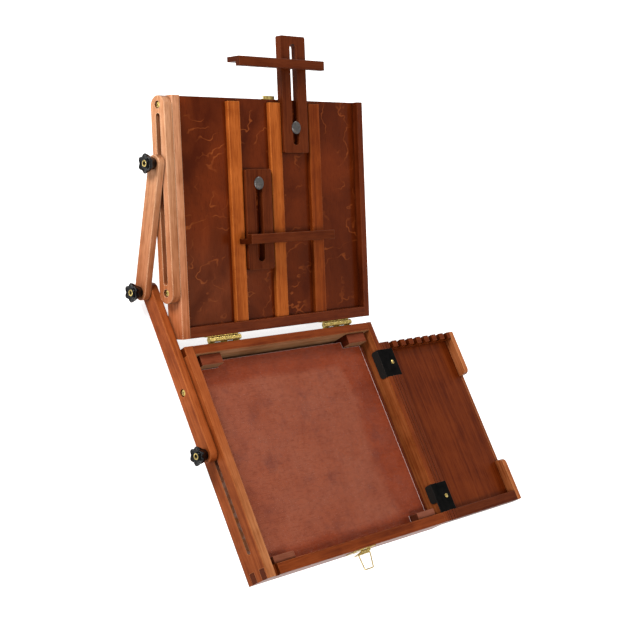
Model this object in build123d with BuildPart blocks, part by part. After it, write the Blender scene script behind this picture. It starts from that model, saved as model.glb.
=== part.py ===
from build123d import *
import math
import os

# A pochade box: a shallow wooden paint box whose lid stands open as an easel.
# Frame: +X right, +Y back, +Z up, millimetres, seen by someone painting in front of it.
# The origin is the mouth of the tripod socket, in the middle of the underside of the base.
# The lid is drawn in its own frame (LID), in which it lies closed: there z = 0 is the rim
# of the base and the board is above it, so every lid size reads as on the closed box.

# ---------------------------------------------------------------- driving dimensions
BOX_WIDTH = 392.0            # left to right, both halves
BOX_DEPTH = 340.0            # front to back, both halves
BASE_HEIGHT = 43.5
LID_HEIGHT = 30.0
LID_ANGLE = 153.6            # how far the lid stands open, degrees
LID_GAP = 0.3                # between the rims of the closed halves

LEFT_WALL = 15.6             # thicknesses of the four walls of the base
RIGHT_WALL = 11.2
BACK_WALL = 13.2
FRONT_WALL = 15.7
BOTTOM_PANEL = 6.0
PANEL_TONGUE = 4.0           # how far a panel runs into the walls round it
FINGER_HEIGHT = 11.0         # box joints at the corners of the base
FINGER_DROPS = (7.5, 29.5)   # centres of the fingers, below the rim
EDGE_BREAK = 0.8             # eased outer edges of the wood

LID_LEFT_RAIL = 14.6
LID_RIGHT_RAIL = 12.1
LID_HINGE_RAIL = 15.6
BOARD_UNDERSIDE = 11.5       # inner face of the lid's board, above the rim
BOARD_THICKNESS = 5.0
BATTEN_WIDTH = 23.3
BATTEN_THICKNESS = 6.5
BATTEN_PITCH = 83.0
BATTEN_CENTRE_X = 7.2
BATTEN_FRONT_Y = -165.0

HINGE_OFFSET = 5.1           # pin behind the back face
HINGE_X = 118.5              # centres of the two hinges, left and right
HINGE_LENGTH = 60.0
HINGE_KNUCKLES = 5
KNUCKLE_RADIUS = 4.0
KNUCKLE_GAP = 0.3
LEAF_THICKNESS = 1.6
LEAF_HEIGHT = 20.0
HINGE_PIN_RADIUS = 1.5
SMALL_SCREW_RADIUS = 1.5
SMALL_SCREW_HEAD = 3.1
SMALL_SCREW_LENGTH = 10.0
LEAF_HOLE_DROP = 12.0        # screws of a leaf, from the pin
LEAF_TOP_GAP = 3.15          # bare strip of wall between the pin and a leaf

ARM_WIDTH = 24.0             # the lower arm, a slat that slides along the left wall
ARM_THICKNESS = 13.5
ARM_DROP = 20.5              # centre of the arm and its slot, below the rim
ARM_BOLT_Y = 18.0            # clamping bolt, guide screw and middle pivot along the arm
ARM_SCREW_Y = 110.0
MIDDLE_PIVOT_Y = 267.0
ARM_GAP = 0.5                # between the wall and the arm, and between arm and link
WALL_SLOT_FRONT = -131.0
WALL_SLOT_BACK = 130.0
WALL_SLOT_WIDTH = 7.0
HEAD_SLOT_WIDTH = 14.0       # wider inner half of the slot, for the bolt head
HEAD_SLOT_DEPTH = 8.0
GUIDE_SCREW_HEAD = 4.5
GUIDE_SCREW_SINK = 0.6       # head of the screw below the arm's face
GUIDE_END_GAP = 1.0          # tip of the screw short of the head slot

BAR_THICKNESS = 14.0         # slotted bar on the lid's left side
BAR_FRONT_Y = -170.0
BAR_BACK_Y = 119.0
BAR_SLOT_FRONT = -145.5
BAR_SLOT_BACK = 93.0
BAR_SLOT_WIDTH = 9.0
BAR_NUT_SLOT_WIDTH = 15.0
BAR_NUT_SLOT_DEPTH = 6.0
BAR_SCREW_YS = (-157.0, 104.0)
BAR_SCREW_POCKET = 5.5       # radius of the counterbore
BAR_SCREW_HEAD = 4.0
BAR_SCREW_SINK = 0.8         # head of the screw below the bar's face
SLOT_NUT_LENGTH = 18.0
SLOT_NUT_SINK = 1.0          # end of the nut's neck below the bar's face
UPPER_PIVOT_Y = -76.5        # sliding bolt's place along the bar

LINK_THICKNESS = 11.0
BOLT_RADIUS = 3.0
BOLT_HEAD_RADIUS = 6.2
BOLT_HEAD_HEIGHT = 3.0
RUNNING = 0.06               # radial clearance of a part that turns on a bolt or pin
LOOSE = 0.3                  # gap beside a part that slides

KNOB_RADIUS = 14.0
KNOB_HEIGHT = 16.0
KNOB_HUB_RADIUS = 8.0
KNOB_HUB_HEIGHT = 6.0
KNOB_LOBES = 6
KNOB_SCALLOP_RADIUS = 4.6
KNOB_SCALLOP_OFFSET = 1.6    # centres of the scallops outside the knob's radius
KNOB_EDGE = 1.6
KNOB_INSERT_RADIUS = 4.5
BOLT_TIP = 3.0               # how far the bolt's end stays below the knob's face

CLAMP_DEPTH = 26.0           # how far the clamps stand in front of the battens
CLAMP_LEDGE = 7.5
CLAMP_LIP = 14.0
CLAMP_LIP_DEPTH = 8.0
CLAMP_LENGTH = 174.5
TONGUE_WIDTH = 51.5
TONGUE_THICKNESS = 10.7
TONGUE_SLOT = 14.0
TONGUE_END = 11.6            # wood beyond each end of a slot
TONGUE_CORNER = 3.0
HOUSING_ROOM = 1.0           # how far a bar's housing is cut past the bar
CLAMP_HEAD_RADIUS = 9.5      # low round head in front of the tongue
CLAMP_HEAD_HEIGHT = 1.8
CLAMP_END = 1.0              # bolt past the wing nut
PANEL_HEIGHT = 254.0         # painting panel held between the clamps
LOWER_LEDGE_Y = 34.5         # where the panel stands
LOWER_BAR_X = 11.5
UPPER_BAR_X = 1.8
LOWER_TONGUE_X = -37.1
UPPER_TONGUE_X = 45.2
LOWER_SLOT_BELOW = 34.5      # each slot's outer end, past the ledge
UPPER_SLOT_ABOVE = 33.3
LOWER_SLOT_INNER_Y = -55.0   # and its inner end
UPPER_SLOT_INNER_Y = -102.0
LOWER_BOLT_Y = -46.0
UPPER_BOLT_Y = -128.0

WASHER_THICKNESS = 1.2
WASHER_RADIUS = 8.0
NUT_RADIUS = 5.5             # wing nuts behind the board
NUT_HEIGHT = 6.0
WING_RADIUS = 12.0
WING_THICKNESS = 2.0
WING_ROOT = 1.5              # heights above the nut's foot
WING_MIDDLE = 6.0
WING_TOP = 9.5
WING_TIP = 0.8               # top of a wing, as a share of its reach
NUT_TAPER = 8.0

PALETTE_DROP = 22.5          # palette surface below the rim
PALETTE_THICKNESS = 4.0
SHEET_THICKNESS = 0.8
PALETTE_BACK_GAP = 6.5
PALETTE_RIGHT_GAP = 11.0
PALETTE_CLEARANCE = 1.0
CLEAT_WIDTH = 24.0
CLEAT_END_GAP = 2.0

BLOCK_DROP = 6.0             # tops of the corner blocks, below the rim
BLOCK_LENGTH = 40.0
BACK_BLOCK_DEPTH = 16.0
FRONT_BLOCK_DEPTH = 11.0
BLOCK_LEFT_GAP = 10.4        # from the left wall to the blocks beside it
BLOCK_RIGHT_GAP = 8.8

NOTCH_WIDTH = 8.0            # notch in the front wall beside the left wall
NOTCH_DEPTH = 6.0

SOCKET_RADIUS = 3.175        # quarter-inch camera thread
SOCKET_LENGTH = 12.0
SOCKET_WALL_RADIUS = 5.0
SOCKET_FLANGE_RADIUS = 9.0
SOCKET_FLANGE = 1.5
TRIPOD_BLOCK = 80.0

TRAY_GAP = 0.3               # between the box and the brush tray beside it
TRAY_WIDTH = 187.7
TRAY_BACK_Y = 133.0
TRAY_HEIGHT = 20.0
TRAY_DEPTH = 15.0
TRAY_FLOOR = 4.0
TRAY_LEFT_RAIL = 19.0
TRAY_OUTER_RAIL = 9.5
TRAY_BACK_RAIL = 10.5
TRAY_FRONT_RAIL = 16.0
SCOOP_FRONT_Y = -98.0        # low stretch of the outer rail, between its two lobes
SCOOP_BACK_Y = 57.0
LOBE_RADIUS = 8.0
COMB_NOTCHES = 8
COMB_PITCH = 20.0
COMB_FIRST_X = 222.0
COMB_NOTCH_WIDTH = 9.0
COMB_NOTCH_DEPTH = 12.5
RAIL_GROOVE_XS = (4.5, 12.0)
RAIL_GROOVE = 1.2

CLIP_THICKNESS = 1.4
CLIP_REACH = 36.5            # how far the clip's top plate runs to the right
CLIP_DROP = 14.0
CLIP_WIDTH = 46.0
CLIP_CORNER = 5.0
BACK_CLIP_GAP = 72.0         # middles of the clips from the back and front of the box
FRONT_CLIP_GAP = 39.0
FRONT_FLANGE_WIDTH = 29.0
CLIP_SCREW_OFFSET = 12.2     # screws from the tray's left face
CLIP_SCREW_RADIUS = 1.8
CLIP_SCREW_LENGTH = 10.0
CLIP_SCREW_HEAD = 3.4
CLIP_HEAD_HEIGHT = 1.6
CLIP_HEAD_TAPER = 35.0

LATCH_X = 2.0
LATCH_PLATE_WIDTH = 44.0
LATCH_PLATE_TOP = 3.0        # below the rim
LATCH_PLATE_BOTTOM = 24.0
LATCH_PLATE_THICKNESS = 1.2
LATCH_SCREW_DROP = 11.0
LATCH_SCREW_SPACING = 34.0
LATCH_HEAD_HEIGHT = 1.0
LEVER_WIDTH = 20.0
LEVER_LENGTH = 17.0
LEVER_THICKNESS = 1.2
LEVER_LEAN = 10.0            # degrees, foot of the lever away from the wall
LEVER_PIN_DROP = 5.5         # lever's pin below the rim
LEVER_PIN_Y = 3.6            # and in front of the wall
LEVER_KNUCKLE = 8.0
LATCH_EAR = 4.5
LATCH_KNUCKLE_RADIUS = 2.0
LATCH_PIN_RADIUS = 0.9
BAIL_ALONG_LEVER = 5.0       # wire loop's hinge, from the lever's pin
BAIL_ROOT_WIDTH = 24.0
BAIL_TIP_WIDTH = 18.0
BAIL_LENGTH = 23.5
BAIL_BEND = 1.6
BAIL_SIDES = 10              # flats round the wire
BAIL_ROOT_LENGTH = 4.0       # straight wire beside each end of the lever
BAIL_END_GAP = 1.0           # ends of the wire from the middle of the lever
BAIL_EYE = 1.8               # radius of the lever's eye round the wire
BAIL_DROOP = 3.0             # degrees below level
CATCH_WIDTH = 22.0
CATCH_THICKNESS = 1.2
CATCH_PLATE = 14.0
CATCH_HOOK = 2.8             # room in the hook for the wire loop
CATCH_FLOOR = 0.5            # hook above the board's inner face

# ---------------------------------------------------------------- derived places
RIM = BASE_HEIGHT
LEFT = -BOX_WIDTH / 2
RIGHT = BOX_WIDTH / 2
BACK = BOX_DEPTH / 2
FRONT = -BOX_DEPTH / 2
IN_LEFT = LEFT + LEFT_WALL
IN_RIGHT = RIGHT - RIGHT_WALL
IN_BACK = BACK - BACK_WALL
IN_FRONT = FRONT + FRONT_WALL

PIN_Y = BACK + HINGE_OFFSET
PIN_Z = LID_GAP / 2
OPEN = math.radians(LID_ANGLE)

BACK_CLIP_Y = BACK - BACK_CLIP_GAP
FRONT_CLIP_Y = FRONT + FRONT_CLIP_GAP

ARM_Z = RIM - ARM_DROP
ARM_INNER_X = LEFT - ARM_GAP
ARM_OUTER_X = ARM_INNER_X - ARM_THICKNESS
LINK_INNER_X = ARM_OUTER_X - ARM_GAP
LINK_OUTER_X = LINK_INNER_X - LINK_THICKNESS
BAR_OUTER_X = LEFT - BAR_THICKNESS

BATTEN_FACE = BOARD_UNDERSIDE - BATTEN_THICKNESS
TONGUE_BACK = BOARD_UNDERSIDE - LOOSE
TONGUE_FRONT = TONGUE_BACK - TONGUE_THICKNESS
BOARD_TOP = BOARD_UNDERSIDE + BOARD_THICKNESS

os.makedirs("parts", exist_ok=True)


def opened(y, z):
    """Where a point (y, z) of the closed lid lies once the lid stands open."""
    turned_y = (y - PIN_Y) * math.cos(OPEN) + (z - PIN_Z) * math.sin(OPEN)
    turned_z = -(y - PIN_Y) * math.sin(OPEN) + (z - PIN_Z) * math.cos(OPEN)
    return PIN_Y + turned_y, RIM + PIN_Z + turned_z


LID_ORIGIN_Y, LID_ORIGIN_Z = opened(0, 0)
LID = Plane(
    origin=(0, LID_ORIGIN_Y, LID_ORIGIN_Z),
    x_dir=(1, 0, 0),
    z_dir=(0, math.sin(OPEN), math.cos(OPEN)),
)


def lid_level(z):
    """Plane of the lid at height z above the closed rim, seen like Plane.XY."""
    return LID.offset(z)


def lid_side(x):
    """Plane across the lid at x, seen like Plane.YZ: sketch x is y, sketch y is z."""
    return Plane(LID.from_local_coords((x, 0, 0)), x_dir=LID.y_dir, z_dir=LID.x_dir)


def lid_section(y):
    """Plane along the lid's width at y, seen like Plane.XZ: it faces the front."""
    return Plane(LID.from_local_coords((0, y, 0)), x_dir=LID.x_dir, z_dir=-LID.y_dir)


def block(plane, x_range, y_range, height, mode=Mode.ADD):
    """Rectangular piece of wood on a plane, from the corners of its footprint."""
    with BuildSketch(plane) as footprint:
        with Locations((sum(x_range) / 2, sum(y_range) / 2)):
            Rectangle(x_range[1] - x_range[0], y_range[1] - y_range[0])
    extrude(footprint.sketch, amount=height, mode=mode)


def bore(plane, points, radius, depth, mode=Mode.SUBTRACT):
    """Round holes, or round pins with Mode.ADD, from a plane along its normal."""
    with BuildSketch(plane) as circles:
        with Locations(*points):
            Circle(radius)
    extrude(circles.sketch, amount=depth, mode=mode)


def save(piece, label):
    piece.part.label = label
    export_step(piece.part, f"parts/{label}.step")


def ease(piece, axis, direction):
    """Break the edges along an axis of the outermost face on one side of a piece."""
    face = piece.faces().sort_by(Axis((0, 0, 0), direction))[-1]
    chamfer(face.edges().filter_by(axis), EDGE_BREAK)


LID_LENGTHWISE = Axis((0, 0, 0), LID.y_dir)
LID_FRONT = -LID.z_dir


# ---------------------------------------------------------------- base: walls
PANEL_X = (IN_LEFT - PANEL_TONGUE, IN_RIGHT + PANEL_TONGUE)
PANEL_Y = (IN_FRONT - PANEL_TONGUE, IN_BACK + PANEL_TONGUE)


def bottom_rabbet():
    """Step cut inside the foot of a wall, in which the bottom panel lies."""
    block(Plane.XY, PANEL_X, PANEL_Y, BOTTOM_PANEL, mode=Mode.SUBTRACT)


def fingers(y_range, mode):
    """Box-joint fingers of a front or back wall, which show on the sides of the box."""
    for drop in FINGER_DROPS:
        floor = Plane.XY.offset(RIM - drop - FINGER_HEIGHT / 2)
        block(floor, (LEFT, RIGHT), y_range, FINGER_HEIGHT, mode=mode)


def clip_recess():
    """Shallow recesses in the rim under the top plates of the tray's hook clips."""
    plane = Plane.XY.offset(RIM - CLIP_THICKNESS - LOOSE)
    for y in (BACK_CLIP_Y, FRONT_CLIP_Y):
        y_range = (y - CLIP_WIDTH / 2 - LOOSE, y + CLIP_WIDTH / 2 + LOOSE)
        block(plane, (IN_RIGHT, RIGHT), y_range, CLIP_THICKNESS + LOOSE, mode=Mode.SUBTRACT)


with BuildPart() as left_wall:
    block(Plane.XY, (LEFT, IN_LEFT), (FRONT, BACK), RIM)
    ease(left_wall, Axis.Y, (0, 0, 1))
    bottom_rabbet()
    fingers((FRONT, IN_FRONT), Mode.SUBTRACT)
    fingers((IN_BACK, BACK), Mode.SUBTRACT)
    slot_middle = (WALL_SLOT_FRONT + WALL_SLOT_BACK) / 2
    slot_length = WALL_SLOT_BACK - WALL_SLOT_FRONT
    with BuildSketch(Plane.YZ.offset(LEFT)):
        with Locations((slot_middle, ARM_Z)):
            SlotOverall(slot_length, WALL_SLOT_WIDTH)
    extrude(amount=LEFT_WALL, mode=Mode.SUBTRACT)
    with BuildSketch(Plane.YZ.offset(IN_LEFT)):
        with Locations((slot_middle, ARM_Z)):
            SlotOverall(slot_length + HEAD_SLOT_WIDTH - WALL_SLOT_WIDTH, HEAD_SLOT_WIDTH)
    extrude(amount=-HEAD_SLOT_DEPTH, mode=Mode.SUBTRACT)
save(left_wall, "base_left_wall")

with BuildPart() as right_wall:
    block(Plane.XY, (IN_RIGHT, RIGHT), (FRONT, BACK), RIM)
    ease(right_wall, Axis.Y, (0, 0, 1))
    bottom_rabbet()
    fingers((FRONT, IN_FRONT), Mode.SUBTRACT)
    fingers((IN_BACK, BACK), Mode.SUBTRACT)
    clip_recess()
save(right_wall, "base_right_wall")

with BuildPart() as front_wall:
    block(Plane.XY, (IN_LEFT, IN_RIGHT), (FRONT, IN_FRONT), RIM)
    ease(front_wall, Axis.X, (0, 0, 1))
    fingers((FRONT, IN_FRONT), Mode.ADD)
    bottom_rabbet()
    notch_floor = Plane.XY.offset(RIM - NOTCH_DEPTH)
    notch_x = (IN_LEFT, IN_LEFT + NOTCH_WIDTH)
    block(notch_floor, notch_x, (FRONT, IN_FRONT), NOTCH_DEPTH, mode=Mode.SUBTRACT)
    latch_screws = [
        (LATCH_X + side * LATCH_SCREW_SPACING / 2, RIM - LATCH_SCREW_DROP) for side in (-1, 1)
    ]
    bore(Plane.XZ.offset(-FRONT), latch_screws, SMALL_SCREW_RADIUS, -SMALL_SCREW_LENGTH)
save(front_wall, "base_front_wall")

HINGE_SCREWS = [
    (side * HINGE_X + step * HINGE_LENGTH / 3, LEAF_HOLE_DROP)
    for side in (-1, 1)
    for step in (-1, 0, 1)
]
with BuildPart() as back_wall:
    block(Plane.XY, (IN_LEFT, IN_RIGHT), (IN_BACK, BACK), RIM)
    ease(back_wall, Axis.X, (0, 0, 1))
    fingers((IN_BACK, BACK), Mode.ADD)
    bottom_rabbet()
    base_screw_points = [(x, RIM + PIN_Z - drop) for x, drop in HINGE_SCREWS]
    bore(Plane.XZ.offset(-BACK), base_screw_points, SMALL_SCREW_RADIUS, SMALL_SCREW_LENGTH)
save(back_wall, "base_back_wall")

# ---------------------------------------------------------------- base: inside
with BuildPart() as bottom_panel:
    block(Plane.XY, PANEL_X, PANEL_Y, BOTTOM_PANEL)
    bore(Plane.XY, [(0, 0)], SOCKET_WALL_RADIUS, BOTTOM_PANEL)
    bore(Plane.XY, [(0, 0)], SOCKET_FLANGE_RADIUS, SOCKET_FLANGE)
save(bottom_panel, "base_bottom_panel")

PALETTE_TOP = RIM - PALETTE_DROP
PALETTE_FLOOR = PALETTE_TOP - SHEET_THICKNESS - PALETTE_THICKNESS

with BuildPart() as tripod_block:
    half = TRIPOD_BLOCK / 2
    block_height = PALETTE_FLOOR - BOTTOM_PANEL - PALETTE_CLEARANCE
    block(Plane.XY.offset(BOTTOM_PANEL), (-half, half), (-half, half), block_height)
    bore(Plane.XY.offset(BOTTOM_PANEL), [(0, 0)], SOCKET_WALL_RADIUS, block_height)
save(tripod_block, "tripod_block")

with BuildPart() as tripod_insert:
    bore(Plane.XY, [(0, 0)], SOCKET_FLANGE_RADIUS, SOCKET_FLANGE, mode=Mode.ADD)
    bore(Plane.XY, [(0, 0)], SOCKET_WALL_RADIUS, SOCKET_LENGTH, mode=Mode.ADD)
    bore(Plane.XY, [(0, 0)], SOCKET_RADIUS, SOCKET_LENGTH)
save(tripod_insert, "tripod_insert")

LEFT_BLOCK_X = IN_LEFT + BLOCK_LEFT_GAP + BLOCK_LENGTH / 2
RIGHT_BLOCK_X = IN_RIGHT - BLOCK_RIGHT_GAP - BLOCK_LENGTH / 2
BLOCKS = [
    (x, y_range)
    for x in (LEFT_BLOCK_X, RIGHT_BLOCK_X)
    for y_range in ((IN_BACK - BACK_BLOCK_DEPTH, IN_BACK), (IN_FRONT, IN_FRONT + FRONT_BLOCK_DEPTH))
]
with BuildPart() as corner_blocks:
    for x, y_range in BLOCKS:
        x_range = (x - BLOCK_LENGTH / 2, x + BLOCK_LENGTH / 2)
        block(Plane.XY.offset(BOTTOM_PANEL), x_range, y_range, RIM - BLOCK_DROP - BOTTOM_PANEL)
    chamfer(corner_blocks.faces().group_by(Axis.Z)[-1].edges(), EDGE_BREAK)
save(corner_blocks, "corner_blocks")

with BuildPart() as palette_cleats:
    cleat_y = (IN_FRONT + FRONT_BLOCK_DEPTH + CLEAT_END_GAP, IN_BACK - BACK_BLOCK_DEPTH - CLEAT_END_GAP)
    for x_range in ((IN_LEFT, IN_LEFT + CLEAT_WIDTH), (IN_RIGHT - CLEAT_WIDTH, IN_RIGHT)):
        block(Plane.XY.offset(BOTTOM_PANEL), x_range, cleat_y, PALETTE_FLOOR - BOTTOM_PANEL)
save(palette_cleats, "palette_cleats")

# ---------------------------------------------------------------- palette
PALETTE_X = (IN_LEFT + PALETTE_CLEARANCE, IN_RIGHT - PALETTE_RIGHT_GAP)
PALETTE_Y = (IN_FRONT + PALETTE_CLEARANCE, IN_BACK - PALETTE_BACK_GAP)


def palette_outline(plane, thickness):
    """Palette or clear sheet, notched round the four corner blocks."""
    block(plane, PALETTE_X, PALETTE_Y, thickness)
    half = BLOCK_LENGTH / 2 + PALETTE_CLEARANCE
    for x, (y_front, y_back) in BLOCKS:
        y_range = (y_front - PALETTE_CLEARANCE, y_back + PALETTE_CLEARANCE)
        block(plane, (x - half, x + half), y_range, thickness, mode=Mode.SUBTRACT)


with BuildPart() as palette_board:
    palette_outline(Plane.XY.offset(PALETTE_FLOOR), PALETTE_THICKNESS)
save(palette_board, "palette_board")

with BuildPart() as palette_sheet:
    palette_outline(Plane.XY.offset(PALETTE_TOP - SHEET_THICKNESS), SHEET_THICKNESS)
save(palette_sheet, "palette_sheet")

# ---------------------------------------------------------------- hinges
KNUCKLE_LENGTH = (HINGE_LENGTH - (HINGE_KNUCKLES - 1) * KNUCKLE_GAP) / HINGE_KNUCKLES


def hinge_leaves(side_plane, screw_plane, sign, own_knuckles, bore_radius):
    """Both leaves of one half: sign is -1 below the pin and +1 above it."""
    top = PIN_Z + sign * LEAF_TOP_GAP
    foot = PIN_Z + sign * LEAF_HEIGHT
    for side in (-1, 1):
        start = side * HINGE_X - HINGE_LENGTH / 2
        with BuildSketch(side_plane(start)) as leaf:
            with Locations((BACK + LEAF_THICKNESS / 2, (top + foot) / 2)):
                Rectangle(LEAF_THICKNESS, abs(top - foot))
        extrude(leaf.sketch, amount=HINGE_LENGTH)
        for index in own_knuckles:
            with BuildSketch(side_plane(start + index * (KNUCKLE_LENGTH + KNUCKLE_GAP))) as knuckle:
                with Locations((PIN_Y, PIN_Z)):
                    Circle(KNUCKLE_RADIUS)
                web_middle = PIN_Z + sign * (KNUCKLE_RADIUS - LEAF_THICKNESS / 2)
                with Locations((BACK + HINGE_OFFSET / 2, web_middle)):
                    Rectangle(HINGE_OFFSET, LEAF_THICKNESS)
            extrude(knuckle.sketch, amount=KNUCKLE_LENGTH)
        bore(side_plane(start), [(PIN_Y, PIN_Z)], bore_radius, HINGE_LENGTH)
    points = [(x, PIN_Z + sign * drop) for x, drop in HINGE_SCREWS]
    countersink(screw_plane, points, Mode.SUBTRACT)


def countersink(screw_plane, points, mode):
    """Cones as deep as a leaf: the holes of a leaf, or the heads of its screws."""
    with BuildSketch(screw_plane) as circles:
        with Locations(*points):
            Circle(SMALL_SCREW_HEAD)
    slope = math.degrees(math.atan2(SMALL_SCREW_HEAD - SMALL_SCREW_RADIUS, LEAF_THICKNESS))
    extrude(circles.sketch, amount=LEAF_THICKNESS, taper=slope, mode=mode)


def hinge_screw_set(screw_plane, points):
    """Six flush screws with a plain shank."""
    countersink(screw_plane, points, Mode.ADD)
    shank_plane = screw_plane.offset(LEAF_THICKNESS)
    bore(shank_plane, points, SMALL_SCREW_RADIUS, SMALL_SCREW_LENGTH, mode=Mode.ADD)


def base_side(x):
    """Plane across the base at x, with heights measured from the rim."""
    return Plane((x, 0, RIM), x_dir=(0, 1, 0), z_dir=(1, 0, 0))


BASE_SCREW_PLANE = Plane((0, BACK + LEAF_THICKNESS, RIM), x_dir=(1, 0, 0), z_dir=(0, -1, 0))
LID_SCREW_PLANE = lid_section(BACK + LEAF_THICKNESS)

with BuildPart() as base_hinge_leaves:
    hinge_leaves(base_side, BASE_SCREW_PLANE, -1, range(0, HINGE_KNUCKLES, 2), HINGE_PIN_RADIUS)
save(base_hinge_leaves, "base_hinge_leaves")

with BuildPart() as lid_hinge_leaves:
    lid_bore = HINGE_PIN_RADIUS + RUNNING
    hinge_leaves(lid_side, LID_SCREW_PLANE, 1, range(1, HINGE_KNUCKLES, 2), lid_bore)
save(lid_hinge_leaves, "lid_hinge_leaves")

with BuildPart() as hinge_pins:
    for side in (-1, 1):
        plane = base_side(side * HINGE_X - HINGE_LENGTH / 2)
        bore(plane, [(PIN_Y, PIN_Z)], HINGE_PIN_RADIUS, HINGE_LENGTH, mode=Mode.ADD)
save(hinge_pins, "hinge_pins")

with BuildPart() as base_hinge_screws:
    hinge_screw_set(BASE_SCREW_PLANE, [(x, PIN_Z - drop) for x, drop in HINGE_SCREWS])
save(base_hinge_screws, "base_hinge_screws")

with BuildPart() as lid_hinge_screws:
    hinge_screw_set(LID_SCREW_PLANE, [(x, PIN_Z + drop) for x, drop in HINGE_SCREWS])
save(lid_hinge_screws, "lid_hinge_screws")

# ---------------------------------------------------------------- lid: frame and board
LID_IN_LEFT = LEFT + LID_LEFT_RAIL
LID_IN_RIGHT = RIGHT - LID_RIGHT_RAIL
LID_IN_BACK = BACK - LID_HINGE_RAIL
BOARD_X = (LID_IN_LEFT - PANEL_TONGUE, LID_IN_RIGHT + PANEL_TONGUE)
BOARD_Y = (FRONT, LID_IN_BACK + PANEL_TONGUE)
RAIL_HEIGHT = LID_HEIGHT - LID_GAP


def board_groove():
    """Groove round the inside of the lid's rails, which holds the board."""
    block(lid_level(BOARD_UNDERSIDE), BOARD_X, BOARD_Y, BOARD_THICKNESS, mode=Mode.SUBTRACT)


with BuildPart() as lid_left_rail:
    block(lid_level(LID_GAP), (LEFT, LID_IN_LEFT), (FRONT, BACK), RAIL_HEIGHT)
    ease(lid_left_rail, LID_LENGTHWISE, LID_FRONT)
    board_groove()
    bar_pilot_points = [(y, LID_HEIGHT / 2) for y in BAR_SCREW_YS]
    bore(lid_side(LEFT), bar_pilot_points, SMALL_SCREW_RADIUS, SMALL_SCREW_LENGTH)
save(lid_left_rail, "lid_left_rail")

with BuildPart() as lid_right_rail:
    block(lid_level(LID_GAP), (LID_IN_RIGHT, RIGHT), (FRONT, BACK), RAIL_HEIGHT)
    ease(lid_right_rail, LID_LENGTHWISE, LID_FRONT)
    board_groove()
save(lid_right_rail, "lid_right_rail")

with BuildPart() as lid_hinge_rail:
    block(lid_level(LID_GAP), (LID_IN_LEFT, LID_IN_RIGHT), (LID_IN_BACK, BACK), RAIL_HEIGHT)
    ease(lid_hinge_rail, Axis.X, LID_FRONT)
    board_groove()
    lid_screw_points = [(x, PIN_Z + drop) for x, drop in HINGE_SCREWS]
    bore(lid_section(BACK), lid_screw_points, SMALL_SCREW_RADIUS, SMALL_SCREW_LENGTH)
save(lid_hinge_rail, "lid_hinge_rail")

LOWER_BAR_BACK_Y = LOWER_LEDGE_Y + CLAMP_LEDGE
UPPER_LEDGE_Y = LOWER_LEDGE_Y - PANEL_HEIGHT
LOWER_SLOT_Y = (LOWER_SLOT_INNER_Y, LOWER_LEDGE_Y + LOWER_SLOT_BELOW)
UPPER_SLOT_Y = (UPPER_LEDGE_Y - UPPER_SLOT_ABOVE, UPPER_SLOT_INNER_Y)
CLAMP_BOLTS = [(LOWER_TONGUE_X, LOWER_BOLT_Y), (UPPER_TONGUE_X, UPPER_BOLT_Y)]

with BuildPart() as lid_board:
    block(lid_level(BOARD_UNDERSIDE), BOARD_X, BOARD_Y, BOARD_THICKNESS)
    bore(lid_level(BOARD_UNDERSIDE), CLAMP_BOLTS, BOLT_RADIUS, BOARD_THICKNESS)
save(lid_board, "lid_board")

for name, step in (("left_batten", -1), ("middle_batten", 0), ("right_batten", 1)):
    with BuildPart() as batten:
        middle = BATTEN_CENTRE_X + step * BATTEN_PITCH
        x_range = (middle - BATTEN_WIDTH / 2, middle + BATTEN_WIDTH / 2)
        block(lid_level(BATTEN_FACE), x_range, (BATTEN_FRONT_Y, LID_IN_BACK), BATTEN_THICKNESS)
        ease(batten, LID_LENGTHWISE, LID_FRONT)
    save(batten, name)

# ---------------------------------------------------------------- lid: slotted bar
BAR_Z = LID_HEIGHT / 2
with BuildPart() as slotted_bar:
    with BuildSketch(lid_side(LEFT)):
        with Locations(((BAR_FRONT_Y + BAR_BACK_Y) / 2, BAR_Z)):
            SlotOverall(BAR_BACK_Y - BAR_FRONT_Y, LID_HEIGHT - LID_GAP)
    extrude(amount=-BAR_THICKNESS)
    outer_face = slotted_bar.faces().sort_by(Axis.X)[0]
    chamfer(outer_face.edges(), EDGE_BREAK)
    bar_slot_middle = (BAR_SLOT_FRONT + BAR_SLOT_BACK) / 2
    bar_slot_length = BAR_SLOT_BACK - BAR_SLOT_FRONT
    with BuildSketch(lid_side(LEFT)):
        with Locations((bar_slot_middle, BAR_Z)):
            SlotOverall(bar_slot_length, BAR_SLOT_WIDTH)
    extrude(amount=-BAR_THICKNESS, mode=Mode.SUBTRACT)
    with BuildSketch(lid_side(LEFT)):
        with Locations((bar_slot_middle, BAR_Z)):
            SlotOverall(bar_slot_length + BAR_NUT_SLOT_WIDTH - BAR_SLOT_WIDTH, BAR_NUT_SLOT_WIDTH)
    extrude(amount=-BAR_NUT_SLOT_DEPTH, mode=Mode.SUBTRACT)
    bar_screw_points = [(y, BAR_Z) for y in BAR_SCREW_YS]
    bore(lid_side(LEFT), bar_screw_points, SMALL_SCREW_RADIUS, -BAR_THICKNESS)
    bore(lid_side(BAR_OUTER_X), bar_screw_points, BAR_SCREW_POCKET, BOLT_HEAD_HEIGHT)
save(slotted_bar, "slotted_bar")

with BuildPart() as bar_screws:
    head_floor = BAR_OUTER_X + BOLT_HEAD_HEIGHT
    head_height = BOLT_HEAD_HEIGHT - BAR_SCREW_SINK
    bore(lid_side(head_floor), bar_screw_points, BAR_SCREW_HEAD, -head_height, mode=Mode.ADD)
    shank_length = BAR_THICKNESS - BOLT_HEAD_HEIGHT + SMALL_SCREW_LENGTH
    bore(lid_side(head_floor), bar_screw_points, SMALL_SCREW_RADIUS, shank_length, mode=Mode.ADD)
save(bar_screws, "bar_screws")

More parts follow.
